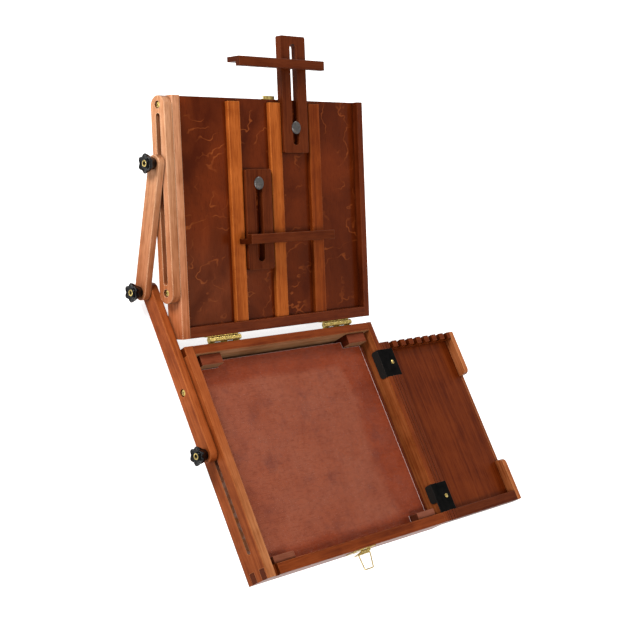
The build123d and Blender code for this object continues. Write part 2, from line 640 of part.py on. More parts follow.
with BuildPart() as slot_nut:
    nut_y = (UPPER_PIVOT_Y - SLOT_NUT_LENGTH / 2, UPPER_PIVOT_Y + SLOT_NUT_LENGTH / 2)
    half_flange = BAR_NUT_SLOT_WIDTH / 2 - LOOSE
    half_neck = BAR_SLOT_WIDTH / 2 - LOOSE
    with BuildSketch(lid_side(LEFT - LOOSE)):
        with Locations((UPPER_PIVOT_Y, BAR_Z)):
            Rectangle(SLOT_NUT_LENGTH, 2 * half_flange)
    extrude(amount=2 * LOOSE - BAR_NUT_SLOT_DEPTH)
    with BuildSketch(lid_side(LEFT - LOOSE)):
        with Locations((UPPER_PIVOT_Y, BAR_Z)):
            Rectangle(SLOT_NUT_LENGTH, 2 * half_neck)
    extrude(amount=2 * LOOSE - BAR_THICKNESS + SLOT_NUT_SINK)
save(slot_nut, "slot_nut")

# ---------------------------------------------------------------- lower arm and its fittings
with BuildPart() as lower_arm:
    with BuildSketch(Plane.YZ.offset(ARM_INNER_X)):
        with Locations(((ARM_BOLT_Y + MIDDLE_PIVOT_Y) / 2, ARM_Z)):
            SlotCenterToCenter(MIDDLE_PIVOT_Y - ARM_BOLT_Y, ARM_WIDTH)
    extrude(amount=-ARM_THICKNESS)
    end_faces = lower_arm.faces().filter_by(Axis.X)
    chamfer(end_faces.edges(), EDGE_BREAK)
    arm_holes = [(ARM_BOLT_Y, ARM_Z), (ARM_SCREW_Y, ARM_Z), (MIDDLE_PIVOT_Y, ARM_Z)]
    bore(Plane.YZ.offset(ARM_INNER_X), arm_holes, BOLT_RADIUS, -ARM_THICKNESS)
    bore(Plane.YZ.offset(ARM_INNER_X), arm_holes[2:], BOLT_HEAD_RADIUS, -BOLT_HEAD_HEIGHT)
    bore(Plane.YZ.offset(ARM_OUTER_X), arm_holes[1:2], BAR_SCREW_POCKET, BOLT_HEAD_HEIGHT)
save(lower_arm, "lower_arm")


def knob_seat(hub_x):
    """The bolt's end inside a knob whose hub starts at hub_x and runs towards -X."""
    return hub_x - KNOB_HEIGHT + BOLT_TIP


LOWER_HUB_X = ARM_OUTER_X - LOOSE
UPPER_HUB_X = LINK_OUTER_X - LOOSE

with BuildPart() as lower_bolt:
    head_x = IN_LEFT - HEAD_SLOT_DEPTH + LOOSE
    head_plane = Plane.YZ.offset(head_x)
    bore(head_plane, arm_holes[:1], BOLT_HEAD_RADIUS, BOLT_HEAD_HEIGHT, mode=Mode.ADD)
    bore(head_plane, arm_holes[:1], BOLT_RADIUS, knob_seat(LOWER_HUB_X) - head_x, mode=Mode.ADD)
save(lower_bolt, "lower_bolt")

with BuildPart() as arm_guide_screw:
    head_x = ARM_OUTER_X + BOLT_HEAD_HEIGHT
    head_plane = Plane.YZ.offset(head_x)
    head_height = BOLT_HEAD_HEIGHT - GUIDE_SCREW_SINK
    guide_end = IN_LEFT - HEAD_SLOT_DEPTH - GUIDE_END_GAP
    bore(head_plane, arm_holes[1:2], GUIDE_SCREW_HEAD, -head_height, mode=Mode.ADD)
    bore(head_plane, arm_holes[1:2], BOLT_RADIUS, guide_end - head_x, mode=Mode.ADD)
save(arm_guide_screw, "arm_guide_screw")

with BuildPart() as middle_bolt:
    head_x = ARM_INNER_X - BOLT_HEAD_HEIGHT
    head_plane = Plane.YZ.offset(head_x)
    bore(head_plane, arm_holes[2:], BOLT_HEAD_RADIUS, BOLT_HEAD_HEIGHT, mode=Mode.ADD)
    bore(head_plane, arm_holes[2:], BOLT_RADIUS, knob_seat(UPPER_HUB_X) - head_x, mode=Mode.ADD)
save(middle_bolt, "middle_bolt")

# ---------------------------------------------------------------- upper link
UPPER_PIVOT = opened(UPPER_PIVOT_Y, BAR_Z)
MIDDLE_PIVOT = (MIDDLE_PIVOT_Y, ARM_Z)
LINK_RISE = UPPER_PIVOT[1] - MIDDLE_PIVOT[1]
LINK_RUN = UPPER_PIVOT[0] - MIDDLE_PIVOT[0]
LINK_LENGTH = math.hypot(LINK_RUN, LINK_RISE)
LINK_ANGLE = math.degrees(math.atan2(LINK_RISE, LINK_RUN))
LINK_MIDDLE = ((UPPER_PIVOT[0] + MIDDLE_PIVOT[0]) / 2, (UPPER_PIVOT[1] + MIDDLE_PIVOT[1]) / 2)

with BuildPart() as upper_link:
    with BuildSketch(Plane.YZ.offset(LINK_INNER_X)):
        with Locations(LINK_MIDDLE):
            SlotCenterToCenter(LINK_LENGTH, ARM_WIDTH, rotation=LINK_ANGLE)
    extrude(amount=-LINK_THICKNESS)
    link_faces = upper_link.faces().filter_by(Axis.X)
    chamfer(link_faces.edges(), EDGE_BREAK)
    bore(Plane.YZ.offset(LINK_INNER_X), [MIDDLE_PIVOT], BOLT_RADIUS + RUNNING, -LINK_THICKNESS)
    bore(Plane.YZ.offset(LINK_INNER_X), [UPPER_PIVOT], BOLT_RADIUS, -LINK_THICKNESS)
save(upper_link, "upper_link")

with BuildPart() as upper_bolt:
    bolt_start = BAR_OUTER_X - LOOSE
    bolt_length = knob_seat(UPPER_HUB_X) - bolt_start
    bore(Plane.YZ.offset(bolt_start), [UPPER_PIVOT], BOLT_RADIUS, bolt_length, mode=Mode.ADD)
save(upper_bolt, "upper_bolt")


# ---------------------------------------------------------------- star knobs
def star_knob(hub_x, centre):
    """Lobed knob on a round hub, hollow for its brass insert."""
    hub = Plane.YZ.offset(hub_x)
    bore(hub, [centre], KNOB_HUB_RADIUS, -KNOB_HUB_HEIGHT, mode=Mode.ADD)
    with BuildSketch(Plane.YZ.offset(hub_x - KNOB_HUB_HEIGHT)) as star:
        with Locations(centre):
            Circle(KNOB_RADIUS)
            with PolarLocations(KNOB_RADIUS + KNOB_SCALLOP_OFFSET, KNOB_LOBES):
                Circle(KNOB_SCALLOP_RADIUS, mode=Mode.SUBTRACT)
    extrude(star.sketch, amount=KNOB_HUB_HEIGHT - KNOB_HEIGHT)
    bore(hub, [centre], KNOB_INSERT_RADIUS, -KNOB_HEIGHT)


def knob_insert(hub_x, centre):
    """Brass bush in a knob, which turns on the bolt."""
    hub = Plane.YZ.offset(hub_x)
    bore(hub, [centre], KNOB_INSERT_RADIUS, -KNOB_HEIGHT, mode=Mode.ADD)
    bore(hub, [centre], BOLT_RADIUS + RUNNING, -KNOB_HEIGHT)


KNOBS = {
    "lower_knob": (LOWER_HUB_X, (ARM_BOLT_Y, ARM_Z)),
    "middle_knob": (UPPER_HUB_X, MIDDLE_PIVOT),
    "upper_knob": (UPPER_HUB_X, UPPER_PIVOT),
}
for name, (hub_x, centre) in KNOBS.items():
    with BuildPart() as knob:
        star_knob(hub_x, centre)
        rim_edges = knob.faces().sort_by(Axis.X)[0].outer_wire().edges()
        chamfer(rim_edges, KNOB_EDGE)
    save(knob, name)
    with BuildPart() as bush:
        knob_insert(hub_x, centre)
    save(bush, name + "_insert")

# ---------------------------------------------------------------- panel clamps
BAR_BACK = BATTEN_FACE - LOOSE
BAR_FRONT = BATTEN_FACE - CLAMP_DEPTH


def clamp_bar(bar_x, ledge_y, outward, tongue_x):
    """Ledge that carries the panel and the lip that keeps it from tipping forward."""
    x_start = bar_x - CLAMP_LENGTH / 2
    ledge_middle = ledge_y + outward * CLAMP_LEDGE / 2
    lip_middle = ledge_y + outward * (CLAMP_LEDGE - CLAMP_LIP / 2)
    with BuildSketch(lid_side(x_start)) as section:
        with Locations((ledge_middle, (BAR_BACK + BAR_FRONT) / 2)):
            Rectangle(CLAMP_LEDGE, BAR_BACK - BAR_FRONT)
        with Locations((lip_middle, BAR_FRONT + CLAMP_LIP_DEPTH / 2)):
            Rectangle(CLAMP_LIP, CLAMP_LIP_DEPTH)
    extrude(section.sketch, amount=CLAMP_LENGTH)
    housing = (tongue_x - TONGUE_WIDTH / 2, tongue_x + TONGUE_WIDTH / 2)
    housing_end = ledge_y + outward * (CLAMP_LEDGE + HOUSING_ROOM)
    y_range = sorted((ledge_y - outward * HOUSING_ROOM, housing_end))
    block(lid_level(TONGUE_FRONT), housing, y_range, TONGUE_THICKNESS, mode=Mode.SUBTRACT)


def clamp_tongue(tongue_x, slot_y):
    """Slat behind a clamp's bar, with a slot that slides on its bolt."""
    length = slot_y[1] - slot_y[0]
    with BuildSketch(lid_level(TONGUE_FRONT)) as slat:
        with Locations((tongue_x, sum(slot_y) / 2)):
            RectangleRounded(TONGUE_WIDTH, length + 2 * TONGUE_END, TONGUE_CORNER)
            SlotOverall(length, TONGUE_SLOT, rotation=90, mode=Mode.SUBTRACT)
    extrude(slat.sketch, amount=TONGUE_THICKNESS)


CLAMPS = {
    "lower_clamp": (LOWER_BAR_X, LOWER_LEDGE_Y, 1, LOWER_TONGUE_X, LOWER_SLOT_Y),
    "upper_clamp": (UPPER_BAR_X, UPPER_LEDGE_Y, -1, UPPER_TONGUE_X, UPPER_SLOT_Y),
}
for name, (bar_x, ledge_y, outward, tongue_x, slot_y) in CLAMPS.items():
    with BuildPart() as bar:
        clamp_bar(bar_x, ledge_y, outward, tongue_x)
        ease(bar, Axis.X, LID_FRONT)
    save(bar, name + "_bar")
    with BuildPart() as tongue:
        clamp_tongue(tongue_x, slot_y)
    save(tongue, name + "_tongue")

NUT_START = BOARD_TOP + WASHER_THICKNESS + LOOSE

with BuildPart() as clamp_bolts:
    head_plane = lid_level(TONGUE_FRONT - LOOSE)
    shoulder_length = BOARD_UNDERSIDE - TONGUE_FRONT
    bolt_length = LOOSE + NUT_START - TONGUE_FRONT + NUT_HEIGHT + CLAMP_END
    bore(head_plane, CLAMP_BOLTS, CLAMP_HEAD_RADIUS, -CLAMP_HEAD_HEIGHT, mode=Mode.ADD)
    bore(head_plane, CLAMP_BOLTS, TONGUE_SLOT / 2 - LOOSE, shoulder_length, mode=Mode.ADD)
    bore(head_plane, CLAMP_BOLTS, BOLT_RADIUS, bolt_length, mode=Mode.ADD)
save(clamp_bolts, "clamp_bolts")

with BuildPart() as clamp_washers:
    bore(lid_level(BOARD_TOP), CLAMP_BOLTS, WASHER_RADIUS, WASHER_THICKNESS, mode=Mode.ADD)
    bore(lid_level(BOARD_TOP), CLAMP_BOLTS, BOLT_RADIUS, WASHER_THICKNESS)
save(clamp_washers, "clamp_washers")

for name, (x, y) in zip(("lower_wing_nut", "upper_wing_nut"), CLAMP_BOLTS):
    with BuildPart() as wing_nut:
        with BuildSketch(lid_level(NUT_START)):
            with Locations((x, y)):
                Circle(NUT_RADIUS)
        extrude(amount=NUT_HEIGHT, taper=NUT_TAPER)
        with BuildSketch(lid_section(y + WING_THICKNESS / 2)):
            with Locations((x, NUT_START)):
                for side in (-1, 1):
                    Polygon(
                        (0, WING_ROOT),
                        (side * NUT_RADIUS, WING_ROOT),
                        (side * WING_RADIUS, WING_MIDDLE),
                        (side * WING_TIP * WING_RADIUS, WING_TOP),
                        (0, NUT_HEIGHT),
                        align=None,
                    )
        extrude(amount=WING_THICKNESS)
        bore(lid_level(NUT_START), [(x, y)], BOLT_RADIUS + RUNNING, WING_TOP)
    save(wing_nut, name)

# ---------------------------------------------------------------- brush tray
TRAY_LEFT = RIGHT + TRAY_GAP
TRAY_RIGHT = TRAY_LEFT + TRAY_WIDTH
TRAY_IN_LEFT = TRAY_LEFT + TRAY_LEFT_RAIL
TRAY_IN_RIGHT = TRAY_RIGHT - TRAY_OUTER_RAIL
TRAY_IN_BACK = TRAY_BACK_Y - TRAY_BACK_RAIL
TRAY_IN_FRONT = FRONT + TRAY_FRONT_RAIL
TRAY_FOOT = RIM - TRAY_HEIGHT
FLOOR_X = (TRAY_IN_LEFT - PANEL_TONGUE, TRAY_IN_RIGHT + PANEL_TONGUE)
FLOOR_Y = (TRAY_IN_FRONT - PANEL_TONGUE, TRAY_IN_BACK + PANEL_TONGUE)
FLOOR_PLANE = Plane.XY.offset(RIM - TRAY_DEPTH - TRAY_FLOOR)


def floor_groove():
    """Groove in a tray rail for the tray's floor."""
    block(FLOOR_PLANE, FLOOR_X, FLOOR_Y, TRAY_FLOOR, mode=Mode.SUBTRACT)


with BuildPart() as tray_floor:
    block(FLOOR_PLANE, FLOOR_X, FLOOR_Y, TRAY_FLOOR)
save(tray_floor, "tray_floor")

with BuildPart() as tray_left_rail:
    block(Plane.XY.offset(TRAY_FOOT), (TRAY_LEFT, TRAY_IN_LEFT), (FRONT, TRAY_BACK_Y), TRAY_HEIGHT)
    ease(tray_left_rail, Axis.Y, (0, 0, 1))
    for groove_x in RAIL_GROOVE_XS:
        x_range = (TRAY_LEFT + groove_x, TRAY_LEFT + groove_x + RAIL_GROOVE)
        plane = Plane.XY.offset(RIM - RAIL_GROOVE)
        block(plane, x_range, (FRONT, TRAY_BACK_Y), RAIL_GROOVE, mode=Mode.SUBTRACT)
    floor_groove()
    for y in (BACK_CLIP_Y, FRONT_CLIP_Y):
        y_range = (y - CLIP_WIDTH / 2, y + CLIP_WIDTH / 2)
        plane = Plane.XY.offset(RIM - CLIP_THICKNESS)
        block(plane, (TRAY_LEFT, TRAY_IN_LEFT), y_range, CLIP_THICKNESS, mode=Mode.SUBTRACT)
    clip_screw_points = [(TRAY_LEFT + CLIP_SCREW_OFFSET, y) for y in (BACK_CLIP_Y, FRONT_CLIP_Y)]
    bore(Plane.XY.offset(RIM - CLIP_THICKNESS), clip_screw_points, CLIP_SCREW_RADIUS, -CLIP_SCREW_LENGTH)
save(tray_left_rail, "tray_left_rail")

with BuildPart() as tray_outer_rail:
    with BuildSketch(Plane.YZ.offset(TRAY_IN_RIGHT)) as rail_side:
        with Locations(((FRONT + TRAY_BACK_Y) / 2, RIM - TRAY_HEIGHT / 2)):
            Rectangle(TRAY_BACK_Y - FRONT, TRAY_HEIGHT)
        with Locations(((SCOOP_FRONT_Y + SCOOP_BACK_Y) / 2, RIM - TRAY_DEPTH / 2)):
            Rectangle(SCOOP_BACK_Y - SCOOP_FRONT_Y, TRAY_DEPTH, mode=Mode.SUBTRACT)
        top_corners = rail_side.vertices().group_by(Axis.Y)[-1].sort_by(Axis.X)
        fillet(top_corners[1:3], LOBE_RADIUS)
    extrude(amount=TRAY_OUTER_RAIL)
    floor_groove()
save(tray_outer_rail, "tray_outer_rail")

with BuildPart() as brush_comb:
    comb_y = (TRAY_IN_BACK, TRAY_BACK_Y)
    block(Plane.XY.offset(TRAY_FOOT), (TRAY_IN_LEFT, TRAY_IN_RIGHT), comb_y, TRAY_HEIGHT)
    with BuildSketch(Plane.XZ.offset(-TRAY_BACK_Y)):
        for index in range(COMB_NOTCHES):
            with Locations((COMB_FIRST_X + index * COMB_PITCH, RIM)):
                SlotOverall(2 * COMB_NOTCH_DEPTH, COMB_NOTCH_WIDTH, rotation=90)
    extrude(amount=TRAY_BACK_RAIL, mode=Mode.SUBTRACT)
    floor_groove()
save(brush_comb, "tray_brush_comb")

with BuildPart() as tray_front_rail:
    block(Plane.XY.offset(TRAY_FOOT), (TRAY_IN_LEFT, TRAY_IN_RIGHT), (FRONT, TRAY_IN_FRONT), TRAY_HEIGHT)
    ease(tray_front_rail, Axis.X, (0, 0, 1))
    floor_groove()
save(tray_front_rail, "tray_front_rail")

# ---------------------------------------------------------------- hook clips of the tray
FLANGE_X = IN_RIGHT - LOOSE - CLIP_THICKNESS

with BuildPart() as hook_clips:
    for y, flange_back, flange_width in (
        (BACK_CLIP_Y, BACK_CLIP_Y + CLIP_WIDTH / 2, CLIP_WIDTH),
        (FRONT_CLIP_Y, FRONT_CLIP_Y + CLIP_WIDTH / 2, FRONT_FLANGE_WIDTH),
    ):
        x_range = (FLANGE_X, FLANGE_X + CLIP_REACH)
        y_range = (y - CLIP_WIDTH / 2, y + CLIP_WIDTH / 2)
        block(Plane.XY.offset(RIM - CLIP_THICKNESS), x_range, y_range, CLIP_THICKNESS)
        with BuildSketch(Plane.YZ.offset(FLANGE_X)) as flange:
            with Locations((flange_back - flange_width / 2, RIM - CLIP_DROP / 2)):
                Rectangle(flange_width, CLIP_DROP)
            fillet(flange.vertices().group_by(Axis.Y)[0], CLIP_CORNER)
        extrude(amount=CLIP_THICKNESS)
    bore(Plane.XY.offset(RIM - CLIP_THICKNESS), clip_screw_points, CLIP_SCREW_RADIUS, CLIP_THICKNESS)
save(hook_clips, "tray_hook_clips")

with BuildPart() as clip_screws:
    with BuildSketch(Plane.XY.offset(RIM)):
        with Locations(*clip_screw_points):
            Circle(CLIP_SCREW_HEAD)
    extrude(amount=CLIP_HEAD_HEIGHT, taper=CLIP_HEAD_TAPER)
    shank_length = CLIP_THICKNESS + CLIP_SCREW_LENGTH
    bore(Plane.XY.offset(RIM), clip_screw_points, CLIP_SCREW_RADIUS, -shank_length, mode=Mode.ADD)
save(clip_screws, "tray_clip_screws")

# ---------------------------------------------------------------- latch
LEAN = math.radians(LEVER_LEAN)
LEVER_PIN = (FRONT - LEVER_PIN_Y, RIM - LEVER_PIN_DROP)


def along_lever(distance, stand_off=0.0):
    """Point (y, z) down the lever from its pin, and in front of its middle plane."""
    y = LEVER_PIN[0] - distance * math.sin(LEAN) - stand_off * math.cos(LEAN)
    return y, LEVER_PIN[1] - distance * math.cos(LEAN) + stand_off * math.sin(LEAN)


def latch_side(x):
    """Plane across the latch at x, seen like Plane.YZ."""
    return Plane.YZ.offset(LATCH_X + x)


with BuildPart() as latch_plate:
    plate_x = (LATCH_X - LATCH_PLATE_WIDTH / 2, LATCH_X + LATCH_PLATE_WIDTH / 2)
    plate_z = (RIM - LATCH_PLATE_BOTTOM, RIM - LATCH_PLATE_TOP)
    block(Plane.XZ.offset(-FRONT), plate_x, plate_z, LATCH_PLATE_THICKNESS)
    bore(Plane.XZ.offset(-FRONT), latch_screws, SMALL_SCREW_RADIUS, LATCH_PLATE_THICKNESS)
    ear_start = LEVER_KNUCKLE / 2 + KNUCKLE_GAP
    for start in (-ear_start - LATCH_EAR, ear_start):
        with BuildSketch(latch_side(start)):
            with Locations(LEVER_PIN):
                Circle(LATCH_KNUCKLE_RADIUS)
            with Locations(((LEVER_PIN[0] + FRONT) / 2, LEVER_PIN[1])):
                Rectangle(LEVER_PIN_Y, LATCH_KNUCKLE_RADIUS)
            with Locations(LEVER_PIN):
                Circle(LATCH_PIN_RADIUS, mode=Mode.SUBTRACT)
        extrude(amount=LATCH_EAR)
save(latch_plate, "latch_plate")

with BuildPart() as latch_plate_screws:
    latch_face = Plane.XZ.offset(LATCH_PLATE_THICKNESS - FRONT)
    bore(latch_face, latch_screws, SMALL_SCREW_HEAD, LATCH_HEAD_HEIGHT, mode=Mode.ADD)
    shank_length = LATCH_PLATE_THICKNESS + SMALL_SCREW_LENGTH
    bore(latch_face, latch_screws, SMALL_SCREW_RADIUS, -shank_length, mode=Mode.ADD)
save(latch_plate_screws, "latch_plate_screws")

with BuildPart() as latch_pin:
    pin_half = ear_start + LATCH_EAR
    bore(latch_side(-pin_half), [LEVER_PIN], LATCH_PIN_RADIUS, 2 * pin_half, mode=Mode.ADD)
save(latch_pin, "latch_pin")

BAIL_PIN = along_lever(BAIL_ALONG_LEVER, LATCH_KNUCKLE_RADIUS - LEVER_THICKNESS / 2)
LEVER_TOP = LATCH_KNUCKLE_RADIUS + KNUCKLE_GAP
with BuildPart() as latch_lever:
    with BuildSketch(latch_side(-LEVER_KNUCKLE / 2)):
        with Locations(LEVER_PIN):
            Circle(LATCH_KNUCKLE_RADIUS)
        with Locations(along_lever(LEVER_TOP / 2)):
            Rectangle(LEVER_THICKNESS, LEVER_TOP, rotation=-LEVER_LEAN)
    extrude(amount=LEVER_KNUCKLE)
    with BuildSketch(latch_side(-LEVER_WIDTH / 2)):
        with Locations(along_lever((LEVER_TOP + LEVER_LENGTH) / 2)):
            Rectangle(LEVER_THICKNESS, LEVER_LENGTH - LEVER_TOP, rotation=-LEVER_LEAN)
        with Locations(BAIL_PIN):
            Circle(BAIL_EYE)
    extrude(amount=LEVER_WIDTH)
    bore(latch_side(-LEVER_WIDTH), [LEVER_PIN, BAIL_PIN], LATCH_PIN_RADIUS + RUNNING, 2 * LEVER_WIDTH)
save(latch_lever, "latch_lever")

DROOP = math.radians(BAIL_DROOP)
BAIL_PLANE = Plane(
    origin=(LATCH_X, *BAIL_PIN),
    x_dir=(1, 0, 0),
    z_dir=(0, -math.sin(DROOP), math.cos(DROOP)),
)
with BuildPart() as latch_bail:
    root = BAIL_ROOT_WIDTH / 2
    tip = BAIL_TIP_WIDTH / 2
    with BuildLine(BAIL_PLANE) as wire:
        FilletPolyline(
            (-BAIL_END_GAP, 0),
            (-root, 0),
            (-root, -BAIL_ROOT_LENGTH),
            (-tip, -BAIL_LENGTH),
            (tip, -BAIL_LENGTH),
            (root, -BAIL_ROOT_LENGTH),
            (root, 0),
            (BAIL_END_GAP, 0),
            radius=BAIL_BEND,
        )
    with BuildSketch(Plane(origin=wire.line @ 0, z_dir=wire.line % 0)):
        RegularPolygon(LATCH_PIN_RADIUS, BAIL_SIDES)
    sweep(path=wire.line)
save(latch_bail, "latch_bail")

HOOK_FLOOR = BOARD_UNDERSIDE + CATCH_FLOOR
HOOK_LIP_Y = FRONT - CATCH_THICKNESS - CATCH_HOOK
with BuildPart() as lid_catch:
    with BuildSketch(lid_side(LATCH_X - CATCH_WIDTH / 2)):
        Polygon(
            (FRONT + CATCH_PLATE, BOARD_TOP),
            (FRONT, BOARD_TOP),
            (FRONT, HOOK_FLOOR),
            (HOOK_LIP_Y - CATCH_THICKNESS, HOOK_FLOOR),
            (HOOK_LIP_Y - CATCH_THICKNESS, BOARD_TOP - CATCH_THICKNESS),
            (HOOK_LIP_Y, BOARD_TOP - CATCH_THICKNESS),
            (HOOK_LIP_Y, HOOK_FLOOR + CATCH_THICKNESS),
            (FRONT - CATCH_THICKNESS, HOOK_FLOOR + CATCH_THICKNESS),
            (FRONT - CATCH_THICKNESS, BOARD_TOP + CATCH_THICKNESS),
            (FRONT + CATCH_PLATE, BOARD_TOP + CATCH_THICKNESS),
            align=None,
        )
    extrude(amount=CATCH_WIDTH)
save(lid_catch, "lid_catch")
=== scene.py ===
import math

import bmesh
import bpy
from mathutils import Matrix, Vector


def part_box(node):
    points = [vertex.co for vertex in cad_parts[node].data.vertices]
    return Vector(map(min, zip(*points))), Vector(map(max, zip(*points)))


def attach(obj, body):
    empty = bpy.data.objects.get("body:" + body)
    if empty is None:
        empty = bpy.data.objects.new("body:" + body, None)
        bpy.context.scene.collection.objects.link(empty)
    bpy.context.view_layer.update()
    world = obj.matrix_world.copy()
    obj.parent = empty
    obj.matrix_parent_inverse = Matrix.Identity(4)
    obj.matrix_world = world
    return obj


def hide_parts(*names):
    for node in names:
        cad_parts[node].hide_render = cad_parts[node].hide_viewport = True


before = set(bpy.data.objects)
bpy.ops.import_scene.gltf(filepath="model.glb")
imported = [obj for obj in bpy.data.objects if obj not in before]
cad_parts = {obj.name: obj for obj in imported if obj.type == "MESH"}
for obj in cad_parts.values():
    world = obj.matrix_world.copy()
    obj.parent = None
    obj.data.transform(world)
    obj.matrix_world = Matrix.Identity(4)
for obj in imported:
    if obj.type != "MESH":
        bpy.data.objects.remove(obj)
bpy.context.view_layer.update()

MM = 0.001
LID_TURN = math.radians(153.6)      # how far the lid stands open
LINK_TURN = math.radians(40.4)      # rise of the upper link above level
LEFT, FRONT, UP, BACK = (-1, 0, 0), (0, -1, 0), (0, 0, 1), (0, 1, 0)
FROM_HINGE = (0, math.cos(LID_TURN), -math.sin(LID_TURN))   # the closed lid's +Y, once it is open
LID_BACK = (0, math.sin(LID_TURN), math.cos(LID_TURN))      # and its +Z

# ---------------------------------------------------------------- stains, as linear colours
DEEP = (0.58, 0.46, 0.38)           # darkest streaks, as a share of the stain's body colour
LIGHT = (1.30, 1.45, 1.70)          # palest streaks
RUBBED_LIT_EDGE = (1.90, 2.90, 4.00)         # rubbed edges, with a painted highlight
PALEST, PALEST_EDGE = 0.80, 0.85  # no streak and no edge is lighter than this
BODIES = {
    "frame": (0.290, 0.066, 0.015),
    "rim": (0.175, 0.031, 0.005),
    "dark_rail": (0.115, 0.019, 0.004),
    # left_rail and pale carry painted light: paler bodies for the strongly lit left rail of the lid
    # and the linkage.
    "left_rail": (0.480, 0.205, 0.098),
    "arm": (0.300, 0.068, 0.015),
    "pale": (0.435, 0.195, 0.092),
    "batten": (0.370, 0.085, 0.013),
    # dark_batten is the batten body with painted shade: the right batten gets less light.
    "dark_batten": (0.225, 0.042, 0.006),
    "clamp": (0.100, 0.018, 0.004),
    "board": (0.110, 0.017, 0.003),
    "tray": (0.135, 0.022, 0.003),
    "lobe": (0.400, 0.120, 0.036),
    "palette": (0.230, 0.036, 0.009),
    "block": (0.165, 0.034, 0.013),
    "bottom": (0.450, 0.260, 0.140),
}
VEIN = (0.330, 0.075, 0.016)        # thin pale figure in the lid's veneer
PALETTE_REFLECTION = (0.290, 0.080, 0.040)        # painted reflection in the middle of the palette
PALETTE_SHADE = (0.125, 0.030, 0.022)       # purple-brown mottling on the palette
SLOT_SHADE = (0.060, 0.016, 0.006)          # painted shade on the floor of the left wall's slot
SLOT_LEDGE_LIGHT = (0.30, 0.14, 0.08)             # patches of painted light on the slot's ledge
BLOCK_FRONT_TAN = (0.330, 0.190, 0.095)          # front faces of the back blocks, tan and paler than their tops
WOOD_GLINT = (1.0, 0.74, 0.56, 1.0)         # varnish over stain reflects warm
VENEER_GLINT = (1.0, 0.60, 0.38, 1.0)
END_SHADE, SEAM_SHADE, BOARD_SEAM_SHADE = 0.60, 0.45, 0.40      # shares of the darkest streaks
EDGE_WEAR_AND_HIGHLIGHT, SEAM_SHADE_MOST, BOARD_SEAM_SHADE_MOST = 0.90, 0.65, 0.60      # most of the edges' wear and painted highlight, and of the seams' painted shade
SEAM_REACH, BOARD_SEAM_REACH = 5 * MM, 7 * MM                   # how far a seam's painted shade spreads

# Colours that multiply a stain where a piece is paler or darker than the rest of it.
RIM_FRONT_TINT = (1.5, 2.5, 4.0)
FRONT_BLOCKS = (1.25, 1.9, 2.6)
LOW_END = (0.78, 0.53, 0.38)
SCOOP = (0.34, 0.20, 0.14)

# Base walls: axis and side of the face that looks into the box, and how much paler it is.
INNER_FACES = {
    "base_left_wall": ("X", 1, (1.5, 2.2, 3.4)),
    "base_right_wall": ("X", -1, (1.75, 2.7, 4.4)),
    "base_front_wall": ("Y", 1, (1.6, 2.4, 4.0)),
    "base_back_wall": ("Y", -1, (2.3, 6.4, 18.0)),
}

# Stretches, in metres, over which one shade gives way to the next on the base.
LEDGE_HEIGHTS = (0.0425, 0.0415)    # the slot's ledge is below them, and the wall's rim above
RIM_FRONT_STRETCH = (0.05, -0.10)        # from the rim's middle to its paler front
FRONT_STRETCH = (0.01, -0.01)       # from the back blocks to the front ones

# Pieces that change down their height: where it starts, where it is complete, and the change.
# The linkage and the lid's left rail turn from pale to orange, a painted pool of light at their
# tops, and the tray's outer rail is dark between its lobes.
FADES = {
    "upper_link": (0.125, 0.020, LOW_END),
    "slotted_bar": (0.150, 0.060, LOW_END),
    "lid_left_rail": (0.150, 0.045, LOW_END),
    "tray_outer_rail": (0.0295, 0.0275, SCOOP),
}

# Each wooden node: stain, axis of the grain, turn of the piece about X, and gloss.
WOODS = {
    "base_left_wall": ("frame", "Y", 0.0, 0.35),
    "base_right_wall": ("rim", "Y", 0.0, 0.35),
    "base_front_wall": ("rim", "X", 0.0, 0.35),
    "base_back_wall": ("rim", "X", 0.0, 0.35),
    "base_bottom_panel": ("bottom", "X", 0.0, 0.10),
    "palette_cleats": ("block", "Y", 0.0, 0.10),
    "corner_blocks": ("block", "X", 0.0, 0.15),
    "tripod_block": ("bottom", "X", 0.0, 0.10),
    "lid_left_rail": ("left_rail", "Y", LID_TURN, 0.40),
    "lid_right_rail": ("dark_rail", "Y", LID_TURN, 0.40),
    "lid_hinge_rail": ("dark_rail", "X", LID_TURN, 0.40),
    "left_batten": ("batten", "Y", LID_TURN, 0.30),
    "middle_batten": ("batten", "Y", LID_TURN, 0.30),
    "right_batten": ("dark_batten", "Y", LID_TURN, 0.30),
    "slotted_bar": ("pale", "Y", LID_TURN, 0.35),
    "lower_arm": ("arm", "Y", 0.0, 0.35),
    "upper_link": ("pale", "Y", -LINK_TURN, 0.35),
    "lower_clamp_bar": ("clamp", "X", LID_TURN, 0.15),
    "lower_clamp_tongue": ("clamp", "Y", LID_TURN, 0.15),
    "upper_clamp_bar": ("clamp", "X", LID_TURN, 0.15),
    "upper_clamp_tongue": ("clamp", "Y", LID_TURN, 0.15),
    "tray_floor": ("tray", "Y", 0.0, 0.25),
    "tray_left_rail": ("dark_rail", "Y", 0.0, 0.25),
    "tray_outer_rail": ("lobe", "Y", 0.0, 0.35),
    "tray_brush_comb": ("tray", "X", 0.0, 0.30),
    "tray_front_rail": ("clamp", "X", 0.0, 0.15),
}
BOARD_SEED, PALETTE_SEED = 3, 31    # the other pieces count up from 1
BRASS = (
    "tripod_insert", "base_hinge_leaves", "lid_hinge_leaves", "hinge_pins", "latch_plate",
    "latch_pin", "latch_lever", "lid_catch",
    "lower_knob_insert", "middle_knob_insert", "upper_knob_insert",
)
STEEL = (
    "lower_bolt", "middle_bolt", "upper_bolt", "lower_wing_nut", "upper_wing_nut", "slot_nut",
)
DARK_STEEL = ("clamp_bolts", "clamp_washers")
KNOBS = ("lower_knob", "middle_knob", "upper_knob")

